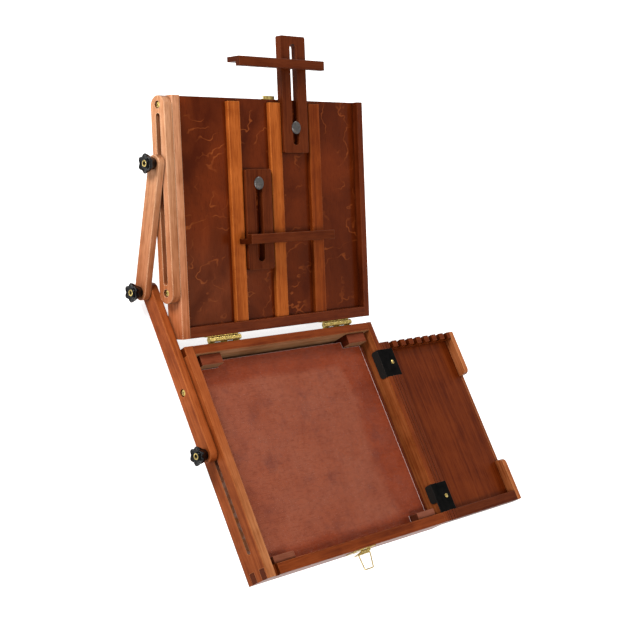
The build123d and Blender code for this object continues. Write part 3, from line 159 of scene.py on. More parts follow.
# Metals and plastics: linear colours of their darker and paler parts, and of their edges.
BRASS_DARK, BRASS_BODY, BRASS_BRIGHT = (0.15, 0.10, 0.025), (0.42, 0.31, 0.09), (0.72, 0.56, 0.22)
BRASS_EDGE = (0.92, 0.78, 0.45)
ZINC, DARK_ZINC = (0.36, 0.355, 0.34), (0.115, 0.105, 0.10)
COAT_DARK, COAT_DUSTY = (0.0015, 0.0015, 0.0015), (0.006, 0.0055, 0.005)
# The flange colour is painted light: the clips' left flange shown greyer than the rest.
COAT_FLANGE_LIGHT, COAT_EDGE = (0.024, 0.022, 0.020), (0.08, 0.075, 0.07)
KNOB_DARK, KNOB_PALE = (0.0008, 0.0008, 0.0008), (0.003, 0.003, 0.0034)
# The sheet's edge colour is its whitish sawn edge with a painted highlight in it.
SHEET_FACE, SHEET_EDGE_GLINT = (0.62, 0.36, 0.30), (0.95, 0.74, 0.70)


# ---------------------------------------------------------------- node helpers
class Nodes:
    """A node tree, with short ways to add nodes and join them up.

    A value is a (node, output) pair. A number or a colour may stand for it where that is said.
    """

    def __init__(self, tree):
        self.tree = tree
        self.tree.nodes.clear()

    def add(self, kind, inputs=(), **settings):
        """A node with its own settings, and plain values on some of its inputs."""
        made = self.tree.nodes.new(kind)
        for key, value in settings.items():
            setattr(made, key, value)
        for key, value in dict(inputs).items():
            made.inputs[key].default_value = value
        return made

    def link(self, value, socket):
        node, output = value
        self.tree.links.new(node.outputs[output], socket)

    def math(self, operation, first, second, clamp=False):
        """Each operand is a number or a value."""
        made = self.add("ShaderNodeMath", operation=operation, use_clamp=clamp)
        for socket, operand in zip(made.inputs, (first, second)):
            if isinstance(operand, tuple):
                self.link(operand, socket)
            else:
                socket.default_value = operand
        return made, "Value"

    def times(self, first, second):
        return self.math("MULTIPLY", first, second)

    def range(self, value, low, high, to_low=0.0, to_high=1.0):
        limits = {"From Min": low, "From Max": high, "To Min": to_low, "To Max": to_high}
        made = self.add("ShaderNodeMapRange", limits)
        self.link(value, made.inputs["Value"])
        return made, "Result"

    def is_seen(self):
        """1 for camera, glossy and transmission rays, which see the white background."""
        path = self.add("ShaderNodeLightPath")
        seen = (path, "Is Camera Ray")
        for name in ("Is Glossy Ray", "Is Transmission Ray"):
            seen = self.math("MAXIMUM", seen, (path, name))
        return seen


class Shader(Nodes):
    """A new material around one Principled shader."""

    FACING = (0.6, 0.9)             # share of a normal along an axis: facing starts, facing fully
    SPAN = (0.3, 0.7)               # values between which a texture mostly stays
    SAMPLES = 6                     # rays for the rounded edges and for the seams

    def __init__(self, name):
        self.material = bpy.data.materials.new(name)
        self.material.use_nodes = True
        super().__init__(self.material.node_tree)
        output = self.add("ShaderNodeOutputMaterial")
        self.bsdf = self.add("ShaderNodeBsdfPrincipled")
        self.link((self.bsdf, "BSDF"), output.inputs["Surface"])

    def set(self, **values):
        """Plain values on the shader's own sockets, such as specular_ior_level=0.1."""
        for key, value in values.items():
            socket = key.replace("_", " ").title().replace("Ior", "IOR")
            self.bsdf.inputs[socket].default_value = value

    def feed(self, value, socket):
        self.link(value, self.bsdf.inputs[socket])

    def axes(self, kind):
        """X, Y and Z of a texture coordinate: Object for a place, Normal for where a face looks."""
        split = self.add("ShaderNodeSeparateXYZ")
        self.link((self.add("ShaderNodeTexCoord"), kind), split.inputs["Vector"])
        return split

    def facing(self, face, axis, sign=1, most=1.0):
        """most on faces that look along an axis, 0 on the others."""
        start, full = self.FACING
        return self.range((face, axis), sign * start, sign * full, 0.0, most)

    def mapping(self, scale=(1, 1, 1), turn=(0, 0, 0), shift=(0, 0, 0), source=None):
        """The object's coordinates, or another mapping's, scaled, turned and shifted."""
        values = {"Scale": scale, "Rotation": turn, "Location": shift}
        made = self.add("ShaderNodeMapping", values)
        if source is None:
            before = (self.add("ShaderNodeTexCoord"), "Object")
        else:
            before = (source, "Vector")
        self.link(before, made.inputs["Vector"])
        return made

    def noise(self, scale, detail, roughness=0.55, distortion=0.0, source=None):
        """Noise with a scale per metre, one number or one for each axis."""
        if isinstance(scale, (int, float)):
            scale = (scale, scale, scale)
        made = self.add("ShaderNodeTexNoise", {
            "Scale": 1.0, "Detail": detail, "Roughness": roughness, "Distortion": distortion,
        })
        self.link((self.mapping(scale, source=source), "Vector"), made.inputs["Vector"])
        return made, "Fac"

    def sum(self, base, *terms):
        """base plus each (value, weight), where a value swings about 0.5."""
        total = base
        for value, weight in terms:
            total = self.math("ADD", total, self.times(self.math("SUBTRACT", value, 0.5), weight))
        return total

    def ramp(self, value, *stops):
        made = self.add("ShaderNodeValToRGB")
        ramp = made.color_ramp
        while len(ramp.elements) < len(stops):
            ramp.elements.new(0.5)
        for element, (place, colour) in zip(ramp.elements, stops):
            element.position = place
            element.color = (*colour, 1.0)
        self.link(value, made.inputs["Fac"])
        return made, "Color"

    def mix(self, factor, first, second, blend="MIX"):
        """Colour mix; each operand is a colour or a value."""
        made = self.add("ShaderNodeMix", data_type="RGBA", blend_type=blend)
        made.clamp_factor = True
        factor_socket, first_socket, second_socket = (made.inputs[k] for k in (0, 6, 7))
        self.link(factor, factor_socket)
        for socket, operand in ((first_socket, first), (second_socket, second)):
            if isinstance(operand[0], bpy.types.Node):
                self.link(operand, socket)
            else:
                socket.default_value = (*operand, 1.0)
        return made, 2

    def tint(self, factor, colour, tint):
        return self.mix(factor, colour, tint, "MULTIPLY")

    def overlay(self, colour, *layers):
        """Lays colours over one: each is (value, its start, its full strength, most, colour)."""
        for value, start, full, most, over in layers:
            colour = self.mix(self.range(value, start, full, 0.0, most), colour, over)
        return colour

    def roughen(self, value, at_low, at_high):
        """Roughness that follows a texture."""
        self.feed(self.range(value, *self.SPAN, at_low, at_high), "Roughness")

    def band(self, value, low, high, soft):
        """1 between low and high, falling to 0 over a soft width outside them."""
        rise = self.range(value, low - soft, low + soft, 0.0, 1.0)
        fall = self.range(value, high - soft, high + soft, 1.0, 0.0)
        return self.times(rise, fall)

    def relief(self, height, distance, strength, edge):
        """Bump on edges that are rounded by a small radius, both in metres."""
        rounded = self.add("ShaderNodeBevel", {"Radius": edge}, samples=self.SAMPLES)
        bump = self.add("ShaderNodeBump", {"Strength": strength, "Distance": distance})
        self.link(height, bump.inputs["Height"])
        self.link((rounded, "Normal"), bump.inputs["Normal"])
        self.feed((bump, "Normal"), "Normal")
        return rounded

    def sharp_edges(self, rounded):
        """1 on sharp outer edges and 0 on the flats, from the rounded normal."""
        product = self.add("ShaderNodeVectorMath", operation="DOT_PRODUCT")
        self.link((rounded, "Normal"), product.inputs[0])
        self.link((self.add("ShaderNodeNewGeometry"), "Normal"), product.inputs[1])
        return self.range((product, "Value"), 0.995, 0.85)

    def openness(self, distance):
        """1 on open faces, falling to 0 in seams and inner corners."""
        reach = {"Distance": distance}
        occlusion = self.add("ShaderNodeAmbientOcclusion", reach, samples=self.SAMPLES)
        return self.range((occlusion, "AO"), 0.35, 0.90)

    def finish_edges(self, colour, rounded, rubbed_and_lit, shade_colour):
        """Rubbed edges with a painted highlight, and painted shade in the seams, over a colour."""
        open_air = self.openness(SEAM_REACH)
        lit_wear = self.times(self.times(self.sharp_edges(rounded), open_air), EDGE_WEAR_AND_HIGHLIGHT)
        colour = self.mix(lit_wear, colour, rubbed_and_lit)
        # painted shade in the seams and inner corners
        return self.mix(self.range(open_air, 0.0, 1.0, SEAM_SHADE_MOST, 0.0), colour, shade_colour)


# ---------------------------------------------------------------- wood
def scaled(colour, share):
    return tuple(share * c for c in colour)


def shaded(colour, shares, most):
    return tuple(min(most, c * share) for c, share in zip(colour, shares))


def tints(stain):
    """The stain's darkest, usual and palest colours."""
    body = BODIES[stain]
    return shaded(body, DEEP, PALEST), body, shaded(body, LIGHT, PALEST)


def piece_space(shader, turn, seed):
    """Coordinates that lie along the piece, shifted so that no two pieces share their figure."""
    return shader.mapping(turn=(turn, 0, 0), shift=scaled((0.37, 0.61, 0.23), seed))


def grain_scale(axis, across, along):
    """Texture scale per metre, finer across the grain than along it."""
    return tuple(along if name == axis else across for name in "XYZ")


# Textures of the grain: scale across and along it, detail and distortion.
GRAIN = {
    "streaks": (150, 3.0, 6, 0.4),
    "fibres": (700, 14, 3, 0.0),
    "flecks": (560, 55, 1, 0.0),
    "blotches": (20, 20, 4, 0.4),
}


def grain(shader, piece, axis):
    """The textures that the woods share, in the order of GRAIN."""
    return [
        shader.noise(grain_scale(axis, across, along), detail, distortion=distortion, source=piece)
        for across, along, detail, distortion in GRAIN.values()
    ]


def slot_and_rim(shader, colour, face, place):
    """Painted shade and light on the left wall's slot ledge, and its rim's top paler at the front.
    """
    up = shader.facing(face, "Z")
    ledge = shader.times(up, shader.range((place, "Z"), *LEDGE_HEIGHTS))
    lit_patches = shader.range(shader.noise(90, 4, 0.7), 0.44, 0.60, 0.0, 0.55)
    # painted shade over the slot's ledge, then patches of painted light on it
    colour = shader.mix(shader.times(ledge, 0.55), colour, SLOT_SHADE)
    colour = shader.mix(shader.times(ledge, lit_patches), colour, SLOT_LEDGE_LIGHT)
    lightening = shader.range((place, "Y"), *RIM_FRONT_STRETCH, 0.0, 0.75)
    return shader.tint(shader.times(up, lightening), colour, RIM_FRONT_TINT)


def block_fronts(shader, colour, face, place):
    """Paler front blocks, and back blocks with tan front faces."""
    at_front = shader.range((place, "Y"), *FRONT_STRETCH)
    colour = shader.tint(at_front, colour, FRONT_BLOCKS)
    return shader.mix(shader.facing(face, "Y", -1, 0.75), colour, BLOCK_FRONT_TAN)


def local_shades(shader, colour, node):
    """What differs from face to face on the base's walls and blocks."""
    if node in INNER_FACES:
        axis, sign, paler = INNER_FACES[node]
        inside = shader.facing(shader.axes("Normal"), axis, sign)
        colour = shader.tint(inside, colour, paler)
    if node == "base_left_wall":
        return slot_and_rim(shader, colour, shader.axes("Normal"), shader.axes("Object"))
    if node == "corner_blocks":
        return block_fronts(shader, colour, shader.axes("Normal"), shader.axes("Object"))
    return colour


def end_grain(shader, axis, turn):
    """0.75 on the faces across the grain, 0 elsewhere."""
    turned = shader.add("ShaderNodeMapping", {"Rotation": (turn, 0, 0)}, vector_type="NORMAL")
    shader.link((shader.add("ShaderNodeTexCoord"), "Normal"), turned.inputs["Vector"])
    split = shader.add("ShaderNodeSeparateXYZ")
    shader.link((turned, "Vector"), split.inputs["Vector"])
    return shader.range(shader.math("ABSOLUTE", (split, axis), 0.0), 0.7, 0.95, 0.0, 0.75)


def wood(node, stain, axis, turn, gloss, seed):
    """Stained, varnished wood: streaks, fibres, flecks, blotches, end grain, rubbed edges with
    painted highlights.
    """
    deep, body, light = tints(stain)
    shader = Shader("wood_" + node)
    streaks, fibres, flecks, blotches = grain(shader, piece_space(shader, turn, seed), axis)
    tone = shader.sum(0.5, (streaks, 0.70), (fibres, 0.36), (blotches, 0.50))
    colour = shader.ramp(tone, (0.32, deep), (0.50, body), (0.70, light))
    colour = shader.overlay(
        colour, (flecks, 0.54, 0.70, 0.45, deep), (flecks, 0.45, 0.33, 0.22, light),
    )
    if node in FADES:
        start, end, change = FADES[node]
        fade = shader.range((shader.axes("Object"), "Z"), start, end)
        colour = shader.tint(fade, colour, change)
    colour = shader.mix(end_grain(shader, axis, turn), colour, scaled(deep, END_SHADE))
    colour = local_shades(shader, colour, node)

    height = shader.sum(0.0, (fibres, 1.0), (streaks, 0.6), (flecks, -0.5))
    rounded = shader.relief(height, 0.10 * MM, 0.30, 1.0 * MM)
    # rubbed edges with a painted highlight, and painted shade in the seams
    rubbed_and_lit = shaded(body, RUBBED_LIT_EDGE, PALEST_EDGE)
    colour = shader.finish_edges(colour, rounded, rubbed_and_lit, scaled(deep, SEAM_SHADE))
    smoother = 0.2 * gloss
    shader.feed(colour, "Base Color")
    shader.roughen(streaks, 0.46 - smoother, 0.34 - smoother)
    shader.set(specular_ior_level=0.035 + 0.12 * gloss, specular_tint=WOOD_GLINT)
    return shader.material


def figure_lines(shader, piece):
    """Thin wandering lines, broken into stretches."""
    waves = shader.add(
        "ShaderNodeTexWave",
        {"Scale": 1.0, "Distortion": 22.0, "Detail": 4.0, "Detail Scale": 0.9,
         "Detail Roughness": 0.6},
        wave_type="BANDS", bands_direction="DIAGONAL", wave_profile="SIN",
    )
    shader.link((shader.mapping((8.0, 11.0, 8.0), source=piece), "Vector"), waves.inputs["Vector"])
    thin = shader.range((waves, "Fac"), 0.965, 1.0)
    stretches = shader.noise((30, 22, 30), 2, source=piece)
    return shader.times(thin, shader.range(stretches, 0.45, 0.65, 0.0, 0.6))


def figured_board():
    """Glossy dark veneer crossed by thin wandering lines of paler figure."""
    deep, body = tints("board")[:2]
    shader = Shader("veneer_lid_board")
    piece = piece_space(shader, LID_TURN, BOARD_SEED)
    clouds = shader.noise((14, 9, 14), 5, distortion=0.8, source=piece)
    fibres = shader.noise((900, 40, 900), 3, source=piece)
    flecks = shader.noise((520, 110, 520), 1, source=piece)
    colour = shader.ramp(clouds, (0.34, deep), (0.54, body), (0.76, scaled(body, 1.6)))
    colour = shader.overlay(
        colour, (fibres, 0.50, 0.75, 0.35, deep), (flecks, 0.58, 0.72, 0.40, deep),
    )
    colour = shader.mix(figure_lines(shader, piece), colour, VEIN)
    shader.relief(fibres, 0.05 * MM, 0.2, 0.5 * MM)
    # painted shade in the seams and corners where other pieces meet the board
    seams = shader.range(shader.openness(BOARD_SEAM_REACH), 0.0, 1.0, BOARD_SEAM_SHADE_MOST, 0.0)
    shader.feed(shader.mix(seams, colour, scaled(deep, BOARD_SEAM_SHADE)), "Base Color")
    shader.roughen(clouds, 0.27, 0.18)
    shader.set(specular_ior_level=0.08, specular_tint=VENEER_GLINT)
    return shader.material


# Painted reflection in the middle of the palette, in metres: its limits and how softly each pair
# ends.
REFLECTED_X = (-0.185, 0.118, 0.010)
REFLECTED_Y = (-0.136, 0.116, 0.005)


def palette_wood():
    """Blotchy red-brown palette, with a painted reflection in the middle and cleaner edges."""
    deep, body, light = tints("palette")
    shader = Shader("wood_palette_board")
    piece = piece_space(shader, 0.0, PALETTE_SEED)
    streaks, fibres, flecks, blotches = grain(shader, piece, "X")
    tone = shader.sum(0.5, (streaks, 0.20), (fibres, 0.16), (blotches, 0.55))
    colour = shader.ramp(tone, (0.30, deep), (0.50, body), (0.74, light))
    place = shader.axes("Object")
    wander = shader.noise(7, 3)
    east = shader.sum((place, "X"), (wander, 0.075))
    north = shader.sum((place, "Y"), (wander, 0.030))
    middle = shader.times(shader.band(east, *REFLECTED_X), shader.band(north, *REFLECTED_Y))
    # the painted reflection is patchy where the blotches are
    lightening = shader.range(blotches, 0.30, 0.70, 0.55, 0.95)
    colour = shader.mix(shader.times(middle, lightening), colour, PALETTE_REFLECTION)
    spots = shader.noise(26, 5, 0.6, source=piece)
    grit = shader.noise(170, 5, 0.7, source=piece)
    colour = shader.overlay(
        colour,
        (spots, 0.54, 0.72, 0.55, PALETTE_SHADE),
        (grit, 0.46, 0.62, 0.32, deep),
        (grit, 0.50, 0.36, 0.18, light),
        (flecks, 0.54, 0.70, 0.34, deep),
        (flecks, 0.44, 0.32, 0.14, light),
    )
    shader.relief(fibres, 0.04 * MM, 0.15, 0.5 * MM)
    shader.feed(colour, "Base Color")
    shader.roughen(blotches, 0.34, 0.22)
    shader.set(specular_ior_level=0.10, specular_tint=WOOD_GLINT)
    return shader.material


# ---------------------------------------------------------------- metal and plastic
def brass():
    """Brass plate: brown stains, fine rub marks and bright edges."""
    shader = Shader("brass_plated")
    stains = shader.noise(260, 5, distortion=0.5)
    rub = shader.noise((900, 60, 900), 2)
    colour = shader.ramp(stains, (0.30, BRASS_DARK), (0.52, BRASS_BODY), (0.80, BRASS_BRIGHT))
    rounded = shader.relief(rub, 0.03 * MM, 0.25, 0.25 * MM)
    edges = shader.times(shader.sharp_edges(rounded), 0.5)
    shader.feed(shader.mix(edges, colour, BRASS_EDGE), "Base Color")
    shader.roughen(stains, 0.36, 0.18)
    shader.set(metallic=1.0)
    return shader.material


def steel(name, shade):
    """Zinc-plated steel, mottled between its shade and a darker one."""
    shader = Shader(name)
    stains = shader.noise(420, 4)
    colour = shader.ramp(stains, (0.3, scaled(shade, 0.45)), (0.7, shade))
    shader.relief(stains, 0.03 * MM, 0.2, 0.25 * MM)
    shader.feed(colour, "Base Color")
    shader.roughen(stains, 0.42, 0.26)
    shader.set(metallic=1.0)
    return shader.material


def black_steel():
    """Satin-black bent strip, rubbed on its edges, with painted light greying its left flange."""
    shader = Shader("satin_black_steel")
    peel = shader.noise(1500, 2)
    dust = shader.noise(90, 4)
    colour = shader.ramp(dust, (0.35, COAT_DARK), (0.75, COAT_DUSTY))
    rounded = shader.relief(peel, 0.05 * MM, 0.3, 0.5 * MM)
    edges = shader.times(shader.sharp_edges(rounded), 0.5)
    # painted light on the left flange
    lit_flange = shader.range((shader.axes("Normal"), "X"), -0.5, -0.9, 0.0, 0.8)
    colour = shader.mix(lit_flange, colour, COAT_FLANGE_LIGHT)
    shader.feed(shader.mix(edges, colour, COAT_EDGE), "Base Color")
    shader.roughen(dust, 0.42, 0.30)
    shader.set(specular_ior_level=0.015)
    return shader.material


def knob_plastic():
    """Glossy moulded black plastic."""
    shader = Shader("moulded_black_plastic")
    skin = shader.noise(500, 3)
    colour = shader.ramp(skin, (0.3, KNOB_DARK), (0.7, KNOB_PALE))
    shader.relief(skin, 0.02 * MM, 0.12, 0.3 * MM)
    shader.feed(colour, "Base Color")
    shader.roughen(skin, 0.14, 0.07)
    shader.set(specular_ior_level=0.16)
    return shader.material


def clear_sheet():
    """Clear plastic sheet: see-through face, sawn edges whitish with a painted highlight."""
    shader = Shader("clear_sheet")
    smears = shader.noise((9, 14, 9), 4, distortion=1.2)
    span = (0.35, 0.75)
    flat = shader.math("ABSOLUTE", (shader.axes("Normal"), "Z"), 0.0)
    side = shader.range(flat, 0.8, 0.3)
    haze = shader.range(smears, *span, 0.02, 0.06)
    solid = shader.math("ADD", haze, shader.times(side, 0.8), clamp=True)
    shader.feed(shader.mix(side, SHEET_FACE, SHEET_EDGE_GLINT), "Base Color")
    shader.feed(solid, "Alpha")
    shader.feed(shader.range(smears, *span, 0.10, 0.22), "Roughness")
    shader.set(ior=1.49, specular_ior_level=0.08)
    return shader.material


# ---------------------------------------------------------------- pieces built here
SMOOTH_BELOW = math.radians(32)     # edges that bend less than this shade smooth


def place_piece(name, mesh, body, nodes, material):
    """Turns a finished bmesh into a piece that rides on body and stands for the CAD nodes."""
    bmesh.ops.recalc_face_normals(mesh, faces=mesh.faces)
    data = bpy.data.meshes.new(name)
    mesh.to_mesh(data)
    mesh.free()
    data.shade_smooth()
    data.set_sharp_from_angle(angle=SMOOTH_BELOW)
    data.materials.append(material)
    piece = bpy.data.objects.new(name, data)
    bpy.context.scene.collection.objects.link(piece)
    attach(piece, body)
    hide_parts(*nodes)


def loft(mesh, rings):
    """A closed skin over rings of points, all with the same count, with both ends capped."""
    rows = [[mesh.verts.new(point) for point in ring] for ring in rings]
    count = len(rows[0])
    for low, high in zip(rows, rows[1:]):
        for k in range(count):
            after = (k + 1) % count
            mesh.faces.new((low[k], low[after], high[after], high[k]))
    for row in (rows[0], rows[-1]):
        middle = mesh.verts.new(sum((v.co for v in row), Vector()) / count)
        for k in range(count):
            mesh.faces.new((row[k], row[(k + 1) % count], middle))


def frame_at(origin, outward):
    """Matrix whose Z axis is outward from origin, for pieces turned about that axis."""
    return Matrix.Translation(origin) @ outward.to_track_quat("Z", "Y").to_matrix().to_4x4()


def polar(reach, angle, height):
    return Vector((reach * math.cos(angle), reach * math.sin(angle), height))


# Star knob, in mm: (height above the arm, radius, how deep the flutes cut).
KNOB_PROFILE = (
    (0.0, 7.4, 0.0), (0.3, 7.9, 0.1), (1.0, 8.2, 0.4), (2.5, 8.6, 0.9), (4.5, 9.4, 1.4),
    (6.5, 10.5, 1.8), (8.5, 11.7, 2.2), (10.5, 12.7, 2.5), (12.5, 13.5, 2.8), (14.0, 13.9, 2.9),
    (14.9, 14.0, 2.9), (15.5, 13.8, 2.9), (15.85, 13.4, 2.8), (16.0, 12.8, 2.6),
    (15.85, 12.1, 2.3), (15.2, 10.7, 1.4), (14.5, 9.2, 0.6), (14.1, 7.8, 0.1), (14.0, 6.4, 0.0),
    (14.5, 6.0, 0.0), (15.6, 5.9, 0.0), (15.9, 5.6, 0.0), (15.9, 4.9, 0.0), (15.6, 4.5, 0.0),
    (14.0, 4.45, 0.0),
)
KNOB_LOBES = 6
KNOB_STEPS = 72
FLUTE_SHAPE = 1.2                   # above 1, the flutes are narrower than the lobes


def knob_radius(radius, flute, angle):
    """Radius of the star at an angle from a lobe's tip."""
    valley = 0.5 - 0.5 * math.cos(KNOB_LOBES * angle)
    return radius - flute * valley ** FLUTE_SHAPE


def star_knob(name, material):
    """A fluted knob round the X axis, with a dished face and a collar round its insert."""
    low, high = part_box(name)
    middle = (low + high) / 2
    angles = [math.tau * k / KNOB_STEPS for k in range(KNOB_STEPS)]
    rings = []
    for height, radius, flute in KNOB_PROFILE:
        ring = []
        for angle in angles:
            reach = knob_radius(radius, flute, angle) * MM
            y = middle.y + reach * math.sin(angle)
            z = middle.z + reach * math.cos(angle)
            ring.append(Vector((high.x - height * MM, y, z)))
        rings.append(ring)
    mesh = bmesh.new()
    loft(mesh, rings)
    place_piece(name + "_star", mesh, name, [name], material)


# Cross-head screws. Lengths are shares of the head's radius.
QUARTER = math.pi / 2
CROSS_ANGLES = 12                   # steps from one arm of the cross recess to the next
CROSS_LENGTH, CROSS_WIDTH = 0.62, 0.15
CROSS_FLOORS = ((0.93, 0.20), (0.45, 0.42))         # (share of the cross, depth) of its floors
SHANK, HEAD_SKIRT, HEAD_FOOT, HEAD_RIM = 0.42, 0.45, 0.96, 0.08
DOME_RINGS = (0.97, 0.90, 0.80, 0.72)
TINY = 1e-9                         # keeps a division off zero


def cross_reach(angle, half_length, half_width):
    """How far a plus-shaped recess reaches from its centre at an angle."""
    c, s = abs(math.cos(angle)) + TINY, abs(math.sin(angle)) + TINY
    return max(min(half_length / c, half_width / s), min(half_width / c, half_length / s))


def cross_angles(half_length, half_width):
    """Even steps round the head, and the corners of the cross."""
    corner = math.atan2(half_width, half_length)
    quarter = sorted({
        0.0, corner, corner / 2, QUARTER / 2, QUARTER - corner, QUARTER - corner / 2,
        *(QUARTER * k / CROSS_ANGLES for k in range(CROSS_ANGLES)),
    })
    return [angle + turn * QUARTER for turn in range(4) for angle in quarter]


def screw(mesh, face, outward, radius, length, dome, sunk):
    """One screw. face is the middle of its top; dome is its rise, sunk its cone's depth."""
    half_length, half_width = CROSS_LENGTH * radius, CROSS_WIDTH * radius
    angles = cross_angles(half_length, half_width)
    skirt = sunk if sunk else HEAD_SKIRT * radius

    def rise(reach):
        return dome * (1.0 - (reach / radius) ** 2) - dome

    def circle(reach, height):
        return [polar(reach, angle, height) for angle in angles]

    def cross(share, depth=None):
        reaches = [share * cross_reach(angle, half_length, half_width) for angle in angles]
        heights = [rise(r) if depth is None else -depth * radius - dome for r in reaches]
        return [polar(*point) for point in zip(reaches, angles, heights)]

    rings = [circle(SHANK * radius, -length), circle(SHANK * radius, -skirt - dome)]
    if not sunk:
        rings.append(circle(HEAD_FOOT * radius, -skirt - dome))
    rings += [circle(radius, -dome - HEAD_RIM * radius), circle(radius, -dome)]
    rings += [circle(share * radius, rise(share * radius)) for share in DOME_RINGS]
    rings += [cross(1.0)] + [cross(share, depth) for share, depth in CROSS_FLOORS]
    place = frame_at(face, outward)
    loft(mesh, [[place @ point for point in ring] for ring in rings])


def screws(node, body, outward, sizes, faces, material):
    """One piece for all of a node's screws. sizes: head radius, length, dome and countersink."""
    mesh = bmesh.new()
    for face in faces:
        screw(mesh, Vector(face) * MM, Vector(outward), *(size * MM for size in sizes))
    place_piece(node + "_heads", mesh, body, [node], material)


# Screws in mm: node, body, direction they look in, (head radius, length, dome, countersink),
# and the middle of each one's face.
HINGE_SIZES = (3.1, 11.6, 0.25, 1.5)
HINGE_XS = (-138.5, -118.5, -98.5, 98.5, 118.5, 138.5)
SCREWS = (
    ("base_hinge_screws", "base", BACK, HINGE_SIZES, [(x, 171.6, 31.65) for x in HINGE_XS]),
    ("lid_hinge_screws", "lid", FROM_HINGE, HINGE_SIZES, [(x, 183.57, 34.46) for x in HINGE_XS]),
    ("arm_guide_screw", "lower_arm", LEFT, (4.5, 20.0, 0.8, 0), [(-209.4, 110.0, 23.0)]),
    ("bar_screws", "lid", LEFT, (4.0, 23.2, 0.8, 0),
     [(-209.2, 479.17, 178.01), (-209.2, 245.39, 61.96)]),
    ("tray_clip_screws", "tray", UP, (3.4, 13.0, 0.9, 0),
     [(208.5, 98.0, 45.1), (208.5, -131.0, 45.1)]),
    ("latch_plate_screws", "base", FRONT, (3.1, 12.2, 0.7, 0),
     [(-15.0, -172.2, 32.5), (19.0, -172.2, 32.5)]),
)

# Clamp bolts, in mm: centres on the closed lid, and (height, radius) along a bolt. Heights count
# from the rim of its head towards the lid's back.
HINGE_Y, HINGE_Z, RIM_GAP = 175.1, 43.65, 0.15
BOLT_CENTRES = ((-37.1, -46.0), (45.2, -128.0))
BOLT_PROFILE = (
    (-1.60, 1.5), (-1.57, 3.4), (-1.48, 5.2), (-1.30, 6.8), (-1.00, 8.1), (-0.62, 9.0),
    (-0.25, 9.45), (0.0, 9.5), (0.2, 9.4), (0.2, 6.7), (11.2, 6.7), (11.2, 3.0), (16.4, 3.0),
)
BOLT_TIP = (25.0, 2.3)
BOLT_SIDES = 32
THREAD_START, THREAD_END = 16.6, 24.5
THREAD_RADIUS, THREAD_PITCH, THREAD_DEPTH = 3.0, 1.0, 0.45
THREAD_RINGS = 6                    # per pitch


def thread_radius(height, turn):
    """Radius of a pointed thread at a height and a share of a whole turn."""
    share = (height / THREAD_PITCH - turn) % 1.0
    return THREAD_RADIUS - THREAD_DEPTH * abs(2.0 * share - 1.0)


def clamp_bolts(material):
    """Domed bolts through the lid's board, threaded where the wing nuts sit."""
    turns = [k / BOLT_SIDES for k in range(BOLT_SIDES)]
    steps = round((THREAD_END - THREAD_START) / THREAD_PITCH * THREAD_RINGS)
    rows = [(height, [radius] * BOLT_SIDES) for height, radius in BOLT_PROFILE]
    for k in range(steps + 1):
        height = THREAD_START + k * THREAD_PITCH / THREAD_RINGS
        rows.append((height, [thread_radius(height, turn) for turn in turns]))
    tip_height, tip_radius = BOLT_TIP
    rows.append((tip_height, [tip_radius] * BOLT_SIDES))
    mesh = bmesh.new()
    for x, y in BOLT_CENTRES:
        head = Vector((x, HINGE_Y, HINGE_Z)) + Vector(FROM_HINGE) * (y - HINGE_Y)
        head -= Vector(LID_BACK) * RIM_GAP
        place = frame_at(head * MM, Vector(LID_BACK))
        loft(mesh, [
            [place @ (polar(reach, math.tau * turn, height) * MM)
             for turn, reach in zip(turns, reaches)]
            for height, reaches in rows
        ])
    place_piece("clamp_bolts_threaded", mesh, "lid", ["clamp_bolts"], material)


# Latch bail: the wire's run in its own plane, in mm, with rounded bends.
BAIL_ORIGIN = (2.0, -175.847, 33.319)
BAIL_DROOP = math.radians(3.0)
BAIL_RUN = ((-1, 0), (-12, 0), (-12, -4), (-9, -23.5), (9, -23.5), (12, -4), (12, 0), (1, 0))
BAIL_BEND = 1.9
BAIL_WIRE = 0.9
BEND_STEPS = 6
BEND_SHARE = 0.45                   # most of a run that one of its bends may take up
WIRE_SIDES = 16


def rounded_run(corners):
    """Points along a line whose inner corners are rounded."""
    points = [corners[0]]
    for before, corner, after in zip(corners, corners[1:], corners[2:]):
        into = corner - before
        out = after - corner
        back = min(BAIL_BEND * MM, BEND_SHARE * into.length, BEND_SHARE * out.length)
        start, end = corner - into.normalized() * back, corner + out.normalized() * back
        for k in range(BEND_STEPS + 1):
            share = k / BEND_STEPS
            rest = 1 - share
            points.append(start * rest ** 2 + corner * 2 * share * rest + end * share ** 2)
    points.append(corners[-1])
    return points


def latch_bail(material):
    """The latch's wire, hinged in its lever and drooping a little."""
    across = Vector((1, 0, 0))
    along = Vector((0, math.cos(BAIL_DROOP), math.sin(BAIL_DROOP)))
    normal = across.cross(along)
    corners = [(Vector(BAIL_ORIGIN) + across * u + along * v) * MM for u, v in BAIL_RUN]
    points = rounded_run(corners)
    turns = [math.tau * k / WIRE_SIDES for k in range(WIRE_SIDES)]
    rings = []
    for k, point in enumerate(points):
        ahead = points[min(k + 1, len(points) - 1)] - points[max(k - 1, 0)]
        side = ahead.normalized().cross(normal)
        spokes = [side * math.cos(turn) + normal * math.sin(turn) for turn in turns]
        rings.append([point + spoke * BAIL_WIRE * MM for spoke in spokes])
    mesh = bmesh.new()
    loft(mesh, rings)
    place_piece("latch_bail_wire", mesh, "latch_bail", ["latch_bail"], material)


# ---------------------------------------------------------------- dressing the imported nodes
def dress(material, *nodes):
    for node in nodes:
        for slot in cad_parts[node].material_slots:
            slot.material = material


def dress_woods():
    for seed, (node, (stain, axis, turn, gloss)) in enumerate(WOODS.items(), start=1):
        dress(wood(node, stain, axis, turn, gloss, seed), node)
    dress(figured_board(), "lid_board")
    dress(palette_wood(), "palette_board")


